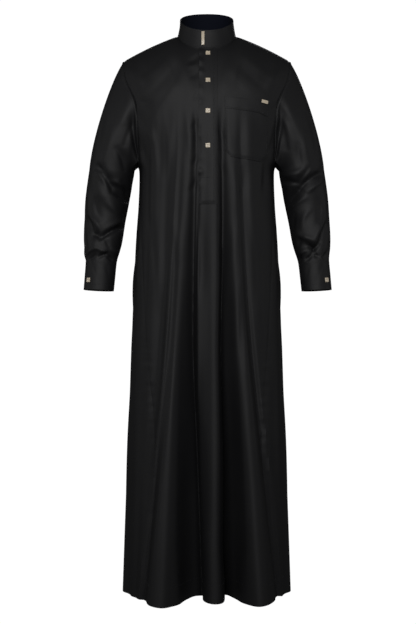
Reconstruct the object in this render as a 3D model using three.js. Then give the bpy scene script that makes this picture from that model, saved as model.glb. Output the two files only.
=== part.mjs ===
import * as THREE from 'three';

// A man's thobe: a long plain dress with a band collar, a buttoned placket, a chest pocket and
// buttoned cuffs. It keeps the hollow form that it has when it is worn, with nobody in it.
// Millimetres, +Z up, the front towards -Y, the wearer's left towards +X.
// The origin lies in the middle of the neck, level with the inner ends of the shoulder seams.

// Cloth and seams
const CLOTH = 1.5;
const SEAM_GAP = 0.3;
const TRIM_LIFT = 0.9;
const POCKET_LIFT = 1.2;
const UNDERARM_GAP = 0.8;
const HEM_CLOTH = 2.6;
const CUFF_CLOTH = 2.4;
const BAND_CLOTH = 1.6;
const FACING_CLOTH = 1.0;

// Heights of the dress and the ends of its shoulder seams
const HEM_Z = -1448;
const HEM_DEPTH = 50;
const ARMPIT_Z = -333;
const SHOULDER = { x: 216, y: 2, z: -63, bulge: 3.5 };
const CHEST_SHARE = 0.53;

// The neck seam is an oval that drops to the front; the rim of the collar lies above it
const NECK = { halfWidth: 76, halfDepth: 75, middleY: -5, side: 0, slope: 37, dip: 7 };
const RIM = { halfWidth: 69.5, halfDepth: 70, middleY: -5, side: 43, slope: 37, dip: 5 };
const COLLAR_SLIT_X = -9.4;
const COLLAR_SLIT_GAP = 0.6;

// How finely each piece is divided
const PANEL = { shoulder: 9, neck: 10, skirt: 15, chest: 3, arch: 6 };
const SIDE_COLUMNS = 8;
const SLEEVE_ROWS = { cap: 6, arm: 10 };

// The body at each height: half width at the sides, depth at the front and the back
const BODY_SECTIONS = [
  { z: -1448, halfWidth: 220, front: 126, back: 132 },
  { z: -1300, halfWidth: 215, front: 126, back: 131 },
  { z: -1160, halfWidth: 210, front: 126, back: 130 },
  { z: -951, halfWidth: 202, front: 125, back: 128 },
  { z: -768, halfWidth: 196, front: 125, back: 125 },
  { z: -637, halfWidth: 190, front: 126, back: 119 },
  { z: -532, halfWidth: 185, front: 127, back: 114 },
  { z: -427, halfWidth: 178, front: 129, back: 114 },
  { z: -350, halfWidth: 177, front: 129, back: 119 },
  { z: -333, halfWidth: 184, front: 128, back: 121 },
  { z: -288, halfWidth: 192, front: 127, back: 124 },
  { z: -190, halfWidth: 214, front: 122, back: 128 },
  { z: -120, halfWidth: 232, front: 114, back: 126 },
  { z: -40, halfWidth: 245, front: 108, back: 122 },
  { z: 40, halfWidth: 250, front: 108, back: 122 },
];
const BODY_ROUNDNESS = 2.3;

// Where the front and back panels end: the side seams below the armpit, the armholes above it
const PANEL_EDGES = [
  { z: -1448, right: 157, left: 170 },
  { z: -1330, right: 148, left: 159 },
  { z: -1210, right: 134, left: 147 },
  { z: -1090, right: 127, left: 138 },
  { z: -975, right: 136, left: 140 },
  { z: -797, right: 153, left: 156 },
  { z: -560, right: 167, left: 169 },
  { z: -400, right: 171, left: 171 },
  { z: -333, right: 176, left: 176 },
  { z: -288, right: 178, left: 178 },
  { z: -240, right: 178, left: 178 },
  { z: -190, right: 182, left: 182 },
  { z: -140, right: 193, left: 193 },
  { z: -84, right: 212, left: 212 },
  { z: -63, right: 216, left: 216 },
];

// The hanging folds of the panels: where each runs at five heights, how far it stands out there
// (less than nothing for a trough), and how wide its two flanks are at the hem
const FOLD_LEVELS = [-300, -600, -820, -1110, -1448];
const FLANK_SHARES = [0.6, 0.68, 0.76, 0.86, 1];
const FRONT_FOLDS = [
  { x: [-131, -138, -150, -158, -168], lift: [3, 4, 4, 5, 8], right: 24, left: 20 },
  { x: [-98, -108, -118, -128, -140], lift: [-2, -4, -4, -3, -2], right: 16, left: 16 },
  { x: [-35, -60, -78, -96, -108], lift: [2, 9, 18, 36, 56], right: 44, left: 36 },
  { x: [-22, -42, -51, -42, -32], lift: [-3, -13, -25, -42, -48], right: 28, left: 28 },
  { x: [22, 20, 21, 21, 18], lift: [2, 7, 12, 20, 28], right: 26, left: 20 },
  { x: [40, 48, 46, 60, 58], lift: [-3, -12, -24, -44, -62], right: 20, left: 26 },
  { x: [57, 78, 91, 107, 124], lift: [2, 9, 18, 36, 56], right: 30, left: 40 },
  { x: [88, 100, 110, 132, 150], lift: [-2, -4, -4, -4, -4], right: 16, left: 16 },
  { x: [105, 127, 140, 152, 172], lift: [2, 4, 4, 5, 8], right: 20, left: 24 },
];
const BACK_FOLDS = [
  { x: [-120, -128, -136, -142, -146], lift: [2, 6, 11, 22, 34], right: 30, left: 26 },
  { x: [-88, -92, -96, -98, -96], lift: [-2, -6, -11, -20, -30], right: 22, left: 22 },
  { x: [-40, -42, -46, -50, -50], lift: [2, 8, 15, 28, 40], right: 26, left: 30 },
  { x: [-8, -8, -4, 0, 2], lift: [-3, -9, -15, -26, -38], right: 24, left: 20 },
  { x: [24, 28, 36, 44, 50], lift: [2, 7, 13, 25, 36], right: 24, left: 28 },
  { x: [60, 66, 76, 86, 94], lift: [-2, -6, -11, -20, -30], right: 20, left: 24 },
  { x: [100, 112, 124, 134, 142], lift: [2, 7, 13, 25, 38], right: 30, left: 26 },
];
// The side panels carry two shallow troughs each, given by their distance from the middle line
const SIDE_FOLDS = [
  { y: [-20, -28, -34, -42, -50], lift: [0, -2, -3, -5, -9], right: 22, left: 22 },
  { y: [16, 24, 30, 38, 46], lift: [0, -2, -3, -6, -11], right: 22, left: 22 },
];
const FOLD_FADE = 40;

// Short drag lines on the chest: both ends, how far they stand out, how wide they are
const CHEST_CREASES = [
  { fromX: -196, fromZ: -84, toX: -166, toZ: -150, lift: 3.5, width: 12 },
  { fromX: -176, fromZ: -70, toX: -150, toZ: -140, lift: -2.5, width: 12 },
  { fromX: -168, fromZ: -160, toX: -170, toZ: -300, lift: 3, width: 14 },
  { fromX: 196, fromZ: -84, toX: 150, toZ: -160, lift: 3.5, width: 12 },
  { fromX: 172, fromZ: -76, toX: 138, toZ: -130, lift: -2.5, width: 12 },
  { fromX: 168, fromZ: -170, toX: 170, toZ: -300, lift: 3, width: 14 },
];

// The arm below the armpit: middle of the sleeve, half its width and half its depth
const ARM_SECTIONS = [
  { z: -354, x: 249, y: 4, across: 59, deep: 66 },
  { z: -427, x: 261, y: 8, across: 57.5, deep: 61 },
  { z: -479, x: 267, y: 4, across: 54, deep: 57 },
  { z: -532, x: 271, y: -6, across: 50.5, deep: 53 },
  { z: -558, x: 273, y: -11, across: 46.5, deep: 48 },
  { z: -578, x: 274.3, y: -14, across: 42, deep: 42 },
  { z: -592, x: 275.2, y: -16, across: 40.3, deep: 39.5 },
  { z: -628, x: 278, y: -19, across: 39.8, deep: 39 },
  { z: -664, x: 281, y: -22, across: 39.3, deep: 38.5 },
];
const CUFF_HEIGHTS = [-592, -628, -664];
// The wearer's left cuff hangs a little further out than the right one
const LEFT_CUFF_DRIFT = 5;
const DRIFT_START_Z = -400;
const DRIFT_END_Z = -664;

// How the sleeve leaves the armhole: over the shoulder, at the front and back, and under the arm
const CAP_LEAVES = {
  over: { x: 64, y: 0, z: -46 },
  middle: { x: 133, y: 30, z: -56 },
  under: { x: 14, y: 0, z: 2 },
};

// Creases of the sleeves: turned from the outside of the arm by an angle in degrees (90 is the
// front), a height, how far they stand out and how wide they are
const RIGHT_SLEEVE_CREASES = [
  { fromTurn: 50, fromZ: -120, toTurn: 130, toZ: -290, lift: -5, width: 14 },
  { fromTurn: 40, fromZ: -339, toTurn: 75, toZ: -372, lift: -6, width: 13 },
  { fromTurn: 75, fromZ: -372, toTurn: 158, toZ: -431, lift: -8, width: 14 },
  { fromTurn: 60, fromZ: -400, toTurn: 130, toZ: -455, lift: 5, width: 16 },
  { fromTurn: 20, fromZ: -474, toTurn: 62, toZ: -520, lift: -6, width: 14 },
  { fromTurn: 62, fromZ: -524, toTurn: 150, toZ: -497, lift: -7, width: 14 },
  { fromTurn: 200, fromZ: -380, toTurn: 300, toZ: -430, lift: -6, width: 15 },
  { fromTurn: 220, fromZ: -480, toTurn: 320, toZ: -520, lift: -5, width: 15 },
];
const LEFT_SLEEVE_CREASES = [
  { fromTurn: 50, fromZ: -120, toTurn: 130, toZ: -290, lift: -5, width: 14 },
  { fromTurn: 40, fromZ: -362, toTurn: 98, toZ: -398, lift: -6, width: 13 },
  { fromTurn: 98, fromZ: -398, toTurn: 155, toZ: -455, lift: -8, width: 14 },
  { fromTurn: 80, fromZ: -352, toTurn: 140, toZ: -388, lift: 5, width: 14 },
  { fromTurn: 30, fromZ: -492, toTurn: 72, toZ: -552, lift: -6, width: 14 },
  { fromTurn: 80, fromZ: -560, toTurn: 130, toZ: -545, lift: -5, width: 13 },
  { fromTurn: 200, fromZ: -400, toTurn: 300, toZ: -440, lift: -6, width: 15 },
  { fromTurn: 230, fromZ: -500, toTurn: 320, toZ: -530, lift: -5, width: 15 },
];
const ARM_RADIUS = 58;

// The strips and patches sewn on the front, and the hard trims
const PLACKET = { right: -19, left: 27, bottomZ: -448, topGap: 3, columns: 10, rows: 18 };
const BUTTON = { size: 11.5, thick: 2.6, groove: 0.7, grooveWidth: 1.3, liftOff: 0.4 };
const BUTTON_X = 3.3;
const BUTTON_HEIGHTS = [-60, -134, -213, -301];
const POCKET = {
  right: 46, left: 154, topZ: -175, topSlope: -0.1, topCorner: -6, depth: 152, bottomSlope: -0.12,
  corner: 16, columns: 9, rows: 7,
};
const POCKET_BAND = { depth: 31, columns: 8, rows: 2 };
const POCKET_TAG = { x: 145, z: -186.5, width: 18, height: 8.5, thick: 1.6, tilt: -10, columns: 3, rows: 2 };
const COLLAR_BAR = { width: 7.6, fromShare: 0.14, toShare: 0.93, thick: 1.8, columns: 2, rows: 4 };
const CUFF_BUTTON = { turn: 50, z: -642 };
const CUFF_SLIT_TURN = 14;
const CUFF_SLIT_GAP = 0.6;

// Colours of the finishes
const black = { color: 0x101012, roughness: 0.75, metalness: 0 };
const navy = { color: 0x0a0e1c, roughness: 0.7, metalness: 0 };
const cream = { color: 0xe9d9bf, roughness: 0.35, metalness: 0 };

// Small helpers for tables, blends and vectors

function smoothStep(from, to, value) {
  const share = THREE.MathUtils.clamp((value - from) / (to - from), 0, 1);
  return share * share * (3 - 2 * share);
}

// A smooth value from a table: rows are sorted by their key, and the slopes at the rows are shared
function fromTable(rows, key, column, value) {
  const ascending = rows[0][key] < rows[rows.length - 1][key];
  const sorted = ascending ? rows : [...rows].reverse();
  const last = sorted.length - 1;
  if (value <= sorted[0][key]) return sorted[0][column];
  if (value >= sorted[last][key]) return sorted[last][column];
  let index = 0;
  while (sorted[index + 1][key] < value) index += 1;
  const slopeAt = (i) => {
    const before = sorted[Math.max(i - 1, 0)];
    const after = sorted[Math.min(i + 1, last)];
    return (after[column] - before[column]) / (after[key] - before[key]);
  };
  const low = sorted[index];
  const high = sorted[index + 1];
  const span = high[key] - low[key];
  const t = (value - low[key]) / span;
  return low[column] * (1 + 2 * t) * (1 - t) ** 2
    + high[column] * t * t * (3 - 2 * t)
    + slopeAt(index) * span * t * (1 - t) ** 2
    - slopeAt(index + 1) * span * t * t * (1 - t);
}

// A value between the fold levels
function atLevel(values, z) {
  const rows = FOLD_LEVELS.map((level, i) => ({ z: level, value: values[i] }));
  return fromTable(rows, 'z', 'value', z);
}

// Height of one hanging fold at a place across the panel
function foldLift(fold, centres, place, z) {
  const away = place - atLevel(centres, z);
  const share = atLevel(FLANK_SHARES, z);
  const flank = (away < 0 ? fold.right : fold.left) * share;
  return atLevel(fold.lift, z) * Math.exp(-((away / flank) ** 2));
}

// Height of a short crease at a point, both in the same two flat coordinates
function creaseLift(fromA, fromB, toA, toB, lift, width, a, b) {
  const alongA = toA - fromA;
  const alongB = toB - fromB;
  const lengthSquared = alongA * alongA + alongB * alongB;
  const share = THREE.MathUtils.clamp(((a - fromA) * alongA + (b - fromB) * alongB) / lengthSquared, 0, 1);
  const offA = a - fromA - share * alongA;
  const offB = b - fromB - share * alongB;
  const taper = 0.35 + 0.65 * Math.sin(Math.PI * share);
  return lift * taper * Math.exp(-(offA * offA + offB * offB) / (width * width));
}

// How far all the folds lift the cloth of the body at a point of its plain form
function bodyLift(point) {
  let lift = 0;
  const atFront = smoothStep(0, FOLD_FADE, -point.y);
  const atBack = smoothStep(0, FOLD_FADE, point.y);
  const low = 1 - smoothStep(-300, -170, point.z);
  if (atFront > 0) {
    for (const fold of FRONT_FOLDS) lift += low * atFront * foldLift(fold, fold.x, point.x, point.z);
    for (const crease of CHEST_CREASES) {
      lift += atFront * creaseLift(crease.fromX, crease.fromZ, crease.toX, crease.toZ,
        crease.lift, crease.width, point.x, point.z);
    }
  }
  if (atBack > 0) {
    for (const fold of BACK_FOLDS) lift += low * atBack * foldLift(fold, fold.x, point.x, point.z);
  }
  const halfWidth = fromTable(BODY_SECTIONS, 'z', 'halfWidth', point.z);
  const atSide = low * smoothStep(0.7, 0.97, Math.abs(point.x) / halfWidth);
  for (const fold of SIDE_FOLDS) lift += atSide * foldLift(fold, fold.y, point.y, point.z);
  return lift;
}

// The plain form of the body

// Depth of the body's oval at a place across it: face is -1 for the front and 1 for the back
function ovalY(face, x, z) {
  const halfWidth = fromTable(BODY_SECTIONS, 'z', 'halfWidth', z);
  const depth = fromTable(BODY_SECTIONS, 'z', face < 0 ? 'front' : 'back', z);
  const across = Math.min(Math.abs(x) / halfWidth, 1);
  return face * depth * (1 - across ** BODY_ROUNDNESS) ** (1 / BODY_ROUNDNESS);
}

function edgeX(side, edgeZ) {
  return fromTable(PANEL_EDGES, 'z', side < 0 ? 'right' : 'left', edgeZ);
}

function ovalHeight(ring, sine) {
  return ring.side + ring.slope * sine - ring.dip * sine * sine;
}

// The top edge of a panel: along the shoulder seam, and along the neck seam between the seams
const NECK_SHARE = PANEL.neck / (PANEL.neck + 2 * PANEL.shoulder);
function topOf(face, column) {
  const side = Math.sign(column) || 1;
  const across = Math.abs(column);
  if (across <= NECK_SHARE) {
    const turn = (across / NECK_SHARE) * (Math.PI / 2);
    const sine = face * Math.cos(turn);
    return new THREE.Vector3(side * NECK.halfWidth * Math.sin(turn),
      NECK.middleY + NECK.halfDepth * sine, ovalHeight(NECK, sine));
  }
  const share = (across - NECK_SHARE) / (1 - NECK_SHARE);
  return new THREE.Vector3(side * THREE.MathUtils.lerp(NECK.halfWidth, SHOULDER.x, share),
    THREE.MathUtils.lerp(NECK.middleY, SHOULDER.y, share),
    THREE.MathUtils.lerp(NECK.side, SHOULDER.z, share) + SHOULDER.bulge * Math.sin(Math.PI * share));
}

// A point of the front or back: column runs from -1 to 1 across it, and edgeZ is the height at
// which its row meets the side seam or the armhole. Above the chest the cloth arches over to the
// ridge of the shoulders, and between the shoulder seams the arch is cut short at the neck seam.
function panelPoint(face, column, edgeZ) {
  const side = Math.sign(column) || 1;
  const top = topOf(face, column);
  const upShare = Math.max((edgeZ - ARMPIT_Z) / (SHOULDER.z - ARMPIT_Z), 0);
  const z = edgeZ <= ARMPIT_Z ? edgeZ : THREE.MathUtils.lerp(ARMPIT_Z, top.z, upShare);
  const arch = THREE.MathUtils.clamp((upShare - CHEST_SHARE) / (1 - CHEST_SHARE), 0, 1);
  const straightX = Math.abs(column) * edgeX(side, edgeZ) * side;
  const x = THREE.MathUtils.lerp(straightX, top.x, arch * arch * (3 - 2 * arch));
  const y = ovalY(face, x, z);
  const ridgeY = Math.abs(column) <= NECK_SHARE ? NECK.middleY : top.y;
  const endShare = THREE.MathUtils.clamp((top.y - ridgeY) / (y - ridgeY), 0, 1);
  const round = arch * arch * (1 - endShare * endShare);
  return new THREE.Vector3(x, ridgeY + (y - ridgeY) * Math.sqrt(1 - round), z);
}

// A point of a side panel: share runs from its front seam to its back seam
function sidePoint(side, share, z, gap) {
  const halfWidth = fromTable(BODY_SECTIONS, 'z', 'halfWidth', z);
  const power = BODY_ROUNDNESS / 2;
  const seamTurn = Math.acos((edgeX(side, z) / halfWidth) ** power);
  const at = (turn) => {
    const depth = fromTable(BODY_SECTIONS, 'z', turn < 0 ? 'front' : 'back', z);
    return new THREE.Vector3(side * halfWidth * Math.cos(turn) ** (1 / power),
      Math.sign(turn) * depth * Math.abs(Math.sin(turn)) ** (1 / power), z);
  };
  const step = 0.01;
  const stretch = at(-seamTurn).distanceTo(at(-seamTurn + step)) / step;
  const reach = seamTurn - gap / stretch;
  return at(-reach + 2 * reach * share);
}

// Grids of points and the walls made from them

// A grid of rows of points; around is true where the rows close on themselves
function makeGrid(rows, around) {
  return { rows, around, normals: [] };
}

// The outward direction at each point of a grid
function gridNormals(grid) {
  const { rows, around } = grid;
  const count = rows[0].length;
  grid.normals = rows.map((row, i) => row.map((point, j) => {
    const before = around ? row[(j - 1 + count) % count] : row[Math.max(j - 1, 0)];
    const after = around ? row[(j + 1) % count] : row[Math.min(j + 1, count - 1)];
    const below = rows[Math.max(i - 1, 0)][j];
    const above = rows[Math.min(i + 1, rows.length - 1)][j];
    const across = after.clone().sub(before);
    const up = above.clone().sub(below);
    return across.cross(up).normalize();
  }));
}

// Where edges of pieces meet, they share one direction, so that the walls stay parallel there
function shareEdgeNormals(grids) {
  const edges = [];
  for (const grid of grids) {
    const count = grid.rows[0].length;
    grid.rows.forEach((row, i) => row.forEach((point, j) => {
      const onSide = !grid.around && (j === 0 || j === count - 1);
      if (i === 0 || i === grid.rows.length - 1 || onSide) {
        edges.push({ point, normal: grid.normals[i][j] });
      }
    }));
  }
  const sums = edges.map((edge) => {
    const sum = new THREE.Vector3();
    for (const other of edges) {
      if (edge.point.distanceTo(other.point) < 3 * SEAM_GAP) sum.add(other.normal);
    }
    return sum;
  });
  edges.forEach((edge, i) => {
    if (sums[i].length() > 0.2) edge.normal.copy(sums[i].normalize());
  });
}

// A closed wall: the grid is its outer skin, and the inner skin lies the thickness further in
function wallGeometry(grid, thickness) {
  const { rows, normals, around } = grid;
  const count = rows[0].length;
  const thick = typeof thickness === 'function' ? thickness : () => thickness;
  const positions = [];
  rows.forEach((row) => row.forEach((point) => positions.push(point.x, point.y, point.z)));
  rows.forEach((row, i) => row.forEach((point, j) => {
    const inner = point.clone().addScaledVector(normals[i][j], -thick(i, j));
    positions.push(inner.x, inner.y, inner.z);
  }));
  const skin = rows.length * count;
  const outer = (i, j) => i * count + (j % count);
  const inner = (i, j) => skin + outer(i, j);
  const faces = [];
  const quad = (a, b, c, d) => faces.push(a, b, c, a, c, d);
  const columns = around ? count : count - 1;
  const lastRow = rows.length - 1;
  for (let i = 0; i < lastRow; i += 1) {
    for (let j = 0; j < columns; j += 1) {
      quad(outer(i, j), outer(i, j + 1), outer(i + 1, j + 1), outer(i + 1, j));
      quad(inner(i, j), inner(i + 1, j), inner(i + 1, j + 1), inner(i, j + 1));
    }
    if (!around) {
      quad(outer(i, 0), outer(i + 1, 0), inner(i + 1, 0), inner(i, 0));
      quad(outer(i, columns), inner(i, columns), inner(i + 1, columns), outer(i + 1, columns));
    }
  }
  for (let j = 0; j < columns; j += 1) {
    quad(outer(0, j), inner(0, j), inner(0, j + 1), outer(0, j + 1));
    quad(outer(lastRow, j), outer(lastRow, j + 1), inner(lastRow, j + 1), inner(lastRow, j));
  }
  const geometry = new THREE.BufferGeometry();
  geometry.setAttribute('position', new THREE.Float32BufferAttribute(positions, 3));
  geometry.setIndex(faces);
  geometry.computeVertexNormals();
  return geometry;
}

// Rows and columns of the panels

function skirtHeights() {
  const hemTop = HEM_Z + HEM_DEPTH;
  const heights = [HEM_Z, hemTop - 2, hemTop + 2];
  const last = ARMPIT_Z - 14;
  for (let i = 1; i <= PANEL.skirt; i += 1) {
    heights.push(THREE.MathUtils.lerp(hemTop + 2, last, i / PANEL.skirt));
  }
  heights.push(ARMPIT_Z);
  return heights;
}

function bodiceHeights() {
  const heights = [];
  const atShare = (share) => THREE.MathUtils.lerp(ARMPIT_Z, SHOULDER.z, share);
  for (let i = 1; i <= PANEL.chest; i += 1) heights.push(atShare((CHEST_SHARE * i) / PANEL.chest));
  for (let i = 1; i <= PANEL.arch; i += 1) {
    const rise = Math.sin((Math.PI / 2) * (i / PANEL.arch));
    heights.push(atShare(CHEST_SHARE + (1 - CHEST_SHARE) * rise));
  }
  return heights;
}

const SKIRT_ROWS = skirtHeights();
const PANEL_ROWS = [...SKIRT_ROWS, ...bodiceHeights()];
const HEM_ROWS = 2;

function panelColumns() {
  const columns = [];
  const count = PANEL.neck + 2 * PANEL.shoulder;
  for (let i = 0; i <= count; i += 1) columns.push(-1 + (2 * i) / count);
  return columns;
}
const PANEL_COLUMNS = panelColumns();

// The back is set half a seam gap behind the shoulder seam, and the front half a gap before it
function seamShift(face, edgeZ) {
  return face * (SEAM_GAP / 2) * smoothStep(-120, SHOULDER.z, edgeZ);
}

function panelGrid(face) {
  const columns = face < 0 ? PANEL_COLUMNS : [...PANEL_COLUMNS].reverse();
  const rows = PANEL_ROWS.map((edgeZ) => columns.map((column) => {
    const point = panelPoint(face, column, edgeZ);
    point.y += seamShift(face, edgeZ);
    return point;
  }));
  return makeGrid(rows, false);
}

function sideGrid(side) {
  const rows = SKIRT_ROWS.map((z) => {
    const row = [];
    for (let i = 0; i <= SIDE_COLUMNS; i += 1) row.push(sidePoint(side, i / SIDE_COLUMNS, z, SEAM_GAP));
    return side > 0 ? row : row.reverse();
  });
  return makeGrid(rows, false);
}

// Sleeves

function armSection(side, z) {
  const drift = side > 0 ? LEFT_CUFF_DRIFT * smoothStep(DRIFT_START_Z, DRIFT_END_Z, z) : 0;
  const valueOf = (column) => fromTable(ARM_SECTIONS, 'z', column, z);
  const middle = new THREE.Vector3(side * (valueOf('x') + drift), valueOf('y'), z);
  return { middle, across: valueOf('across'), deep: valueOf('deep') };
}

// A point around the arm: turn is 0 on the outside, a quarter turn at the front
function armPoint(side, z, turn) {
  const here = armSection(side, z);
  const reach = 4;
  const above = armSection(side, z + reach).middle;
  const below = armSection(side, z - reach).middle;
  const along = below.sub(above).normalize();
  const out = new THREE.Vector3(side, 0, 0);
  out.addScaledVector(along, -out.dot(along)).normalize();
  const front = new THREE.Vector3(0, -1, 0);
  front.addScaledVector(along, -front.dot(along)).normalize();
  const point = here.middle.clone();
  point.addScaledVector(out, here.across * Math.cos(turn));
  point.addScaledVector(front, here.deep * Math.sin(turn));
  return { point, along };
}

// The armhole as one loop: from the shoulder down the front, under the arm and up the back
function armholeLoop(side, front, under, back) {
  const bodice = PANEL_ROWS.length - SKIRT_ROWS.length;
  const columnOf = (grid) => {
    const first = grid.rows[0][0].x * side > 0;
    return first ? 0 : grid.rows[0].length - 1;
  };
  const frontColumn = columnOf(front);
  const backColumn = columnOf(back);
  const top = PANEL_ROWS.length - 1;
  const loop = [];
  for (let i = 0; i < bodice; i += 1) loop.push(front.rows[top - i][frontColumn].clone());
  const underRow = under.rows[under.rows.length - 1];
  const frontFirst = underRow[0].y < 0 ? underRow : [...underRow].reverse();
  frontFirst.forEach((point) => loop.push(point.clone()));
  for (let i = 1; i < bodice; i += 1) {
    loop.push(back.rows[PANEL_ROWS.length - 1 - bodice + i][backColumn].clone());
  }
  return loop;
}

// The turn of each point of the loop, by its share of the way round
function loopTurns(loop) {
  const count = loop.length;
  const steps = loop.map((point, i) => point.distanceTo(loop[(i + 1) % count]));
  const lowest = loop.reduce((best, point, i) => (Math.abs(point.y) < 30 && point.z < ARMPIT_Z + 20
    && Math.abs(point.y) < Math.abs(loop[best].y) ? i : best), Math.floor(count / 2));
  const total = (from, to) => steps.slice(from, to).reduce((sum, step) => sum + step, 0);
  const down = total(0, lowest);
  const up = total(lowest, count);
  return loop.map((point, i) => (i <= lowest
    ? (Math.PI * total(0, i)) / down
    : Math.PI + (Math.PI * total(lowest, i)) / up));
}

function sleeveGrid(side, loop) {
  const turns = loopTurns(loop);
  const startZ = ARM_SECTIONS[0].z;
  const endZ = CUFF_HEIGHTS[0];
  const columns = loop.map((start, k) => {
    const turn = turns[k];
    const { point: end, along } = armPoint(side, startZ, turn);
    const over = ((1 + Math.cos(turn)) / 2) ** 2;
    const under = ((1 - Math.cos(turn)) / 2) ** 2;
    const middle = 1 - over - under;
    const leaveOf = (axis) => over * CAP_LEAVES.over[axis] + middle * CAP_LEAVES.middle[axis]
      + under * CAP_LEAVES.under[axis];
    const leave = new THREE.Vector3(side * leaveOf('x'), -Math.sin(turn) * leaveOf('y'), leaveOf('z'));
    const gap = THREE.MathUtils.lerp(SEAM_GAP, UNDERARM_GAP, smoothStep(0.6, 0.9, under));
    const gapStart = start.clone().addScaledVector(leave.clone().normalize(), gap);
    const arrive = along.clone().multiplyScalar(gapStart.distanceTo(end));
    const column = [gapStart];
    for (let i = 1; i <= SLEEVE_ROWS.cap; i += 1) {
      const t = i / SLEEVE_ROWS.cap;
      const point = new THREE.Vector3();
      point.addScaledVector(gapStart, (1 + 2 * t) * (1 - t) ** 2);
      point.addScaledVector(leave, t * (1 - t) ** 2);
      point.addScaledVector(end, t * t * (3 - 2 * t));
      point.addScaledVector(arrive, -t * t * (1 - t));
      column.push(point);
    }
    for (let i = 1; i <= SLEEVE_ROWS.arm; i += 1) {
      const z = THREE.MathUtils.lerp(startZ, endZ, i / SLEEVE_ROWS.arm);
      column.push(armPoint(side, z, turn).point);
    }
    return column;
  });
  const rows = columns[0].map((_, i) => columns.map((column) => column[i]));
  rows.reverse();
  if (side > 0) rows.forEach((row) => row.reverse());
  const grid = makeGrid(rows, true);
  grid.turns = side > 0 ? [...turns].reverse() : turns;
  return grid;
}

function sleeveLift(creases, turn, z) {
  let lift = 0;
  const degrees = THREE.MathUtils.radToDeg(turn);
  const arc = THREE.MathUtils.degToRad(1) * ARM_RADIUS;
  for (const crease of creases) {
    lift += creaseLift(crease.fromTurn * arc, crease.fromZ, crease.toTurn * arc, crease.toZ,
      crease.lift, crease.width, degrees * arc, z);
  }
  return lift;
}

// Moves a grid's points along its normals
function liftGrid(grid, liftOf) {
  grid.rows.forEach((row, i) => row.forEach((point, j) => {
    point.addScaledVector(grid.normals[i][j], liftOf(point, i, j));
  }));
}

// All the large cloth pieces as grids
const front = panelGrid(-1);
const back = panelGrid(1);
const sideRight = sideGrid(-1);
const sideLeft = sideGrid(1);
const bodyGrids = [front, back, sideRight, sideLeft];
bodyGrids.forEach(gridNormals);
shareEdgeNormals(bodyGrids);
bodyGrids.forEach((grid) => liftGrid(grid, bodyLift));

const sleeveRight = sleeveGrid(-1, armholeLoop(-1, front, sideRight, back));
const sleeveLeft = sleeveGrid(1, armholeLoop(1, front, sideLeft, back));
[[sleeveRight, RIGHT_SLEEVE_CREASES], [sleeveLeft, LEFT_SLEEVE_CREASES]].forEach(([grid, creases]) => {
  gridNormals(grid);
  const lastRow = grid.rows.length - 1;
  liftGrid(grid, (point, i, j) => {
    const nearEnds = smoothStep(0, 2, i) * smoothStep(0, 2, lastRow - i);
    return nearEnds * sleeveLift(creases, grid.turns[j], point.z);
  });
});

// Cuffs: open strips that turn with the end of the sleeve and whose ends meet beside the button
function cuffGrid(side, sleeve) {
  const fullTurn = 2 * Math.PI;
  const slit = THREE.MathUtils.degToRad(CUFF_SLIT_TURN);
  const half = CUFF_SLIT_GAP / 2 / armSection(side, CUFF_HEIGHTS[0]).across;
  const turns = [...sleeve.turns].sort((a, b) => a - b);
  const after = turns.filter((turn) => turn > slit + half);
  const before = turns.filter((turn) => turn < slit - half);
  const low = before[before.length - 1];
  const high = after[0];
  const rows = CUFF_HEIGHTS.map((z, i) => {
    const at = (turn) => {
      const { point, along } = armPoint(side, z, turn);
      if (i === 0) point.addScaledVector(along, SEAM_GAP);
      return point;
    };
    const between = (turn) => at(low).lerp(at(high), (turn - low) / (high - low));
    const row = [between(slit + half), ...after.map(at), ...before.map((turn) => at(turn + fullTurn)),
      between(slit - half)];
    return side > 0 ? row.reverse() : row;
  });
  rows.reverse();
  return makeGrid(rows, false);
}
const cuffRight = cuffGrid(-1, sleeveRight);
const cuffLeft = cuffGrid(1, sleeveLeft);

const clothGrids = [...bodyGrids, sleeveRight, sleeveLeft, cuffRight, cuffLeft];
clothGrids.forEach(gridNormals);
shareEdgeNormals(clothGrids);

// Collar: a strip around the neck seam whose ends meet at the front, and the facing inside it

function neckTurns() {
  const slitTurn = -Math.acos(COLLAR_SLIT_X / NECK.halfWidth);
  const half = COLLAR_SLIT_GAP / 2 / NECK.halfWidth;
  const step = Math.PI / PANEL.neck;
  const turns = [slitTurn + half];
  for (let i = Math.ceil((slitTurn + half) / step); i * step < slitTurn - half + 2 * Math.PI; i += 1) {
    turns.push(i * step);
  }
  turns.push(slitTurn - half + 2 * Math.PI);
  return turns;
}

// A point on an oval, on the straight stretch between the two points of the seam beside it
function ovalPoint(ring, turn) {
  const step = Math.PI / PANEL.neck;
  const low = Math.floor(turn / step + 1e-6) * step;
  const at = (angle) => new THREE.Vector3(ring.halfWidth * Math.cos(angle),
    ring.middleY + ring.halfDepth * Math.sin(angle), ovalHeight(ring, Math.sin(angle)));
  return at(low).lerp(at(low + step), (turn - low) / step);
}

const COLLAR_ROWS = 3;
function collarGrid() {
  const turns = neckTurns();
  const rows = [];
  for (let i = 0; i <= COLLAR_ROWS; i += 1) {
    rows.push(turns.map((turn) => {
      const base = ovalPoint(NECK, turn);
      const rim = ovalPoint(RIM, turn);
      const up = rim.clone().sub(base).normalize();
      return base.addScaledVector(up, 2 * SEAM_GAP).lerp(rim, i / COLLAR_ROWS);
    }));
  }
  return makeGrid(rows, false);
}
const collar = collarGrid();
gridNormals(collar);

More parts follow.
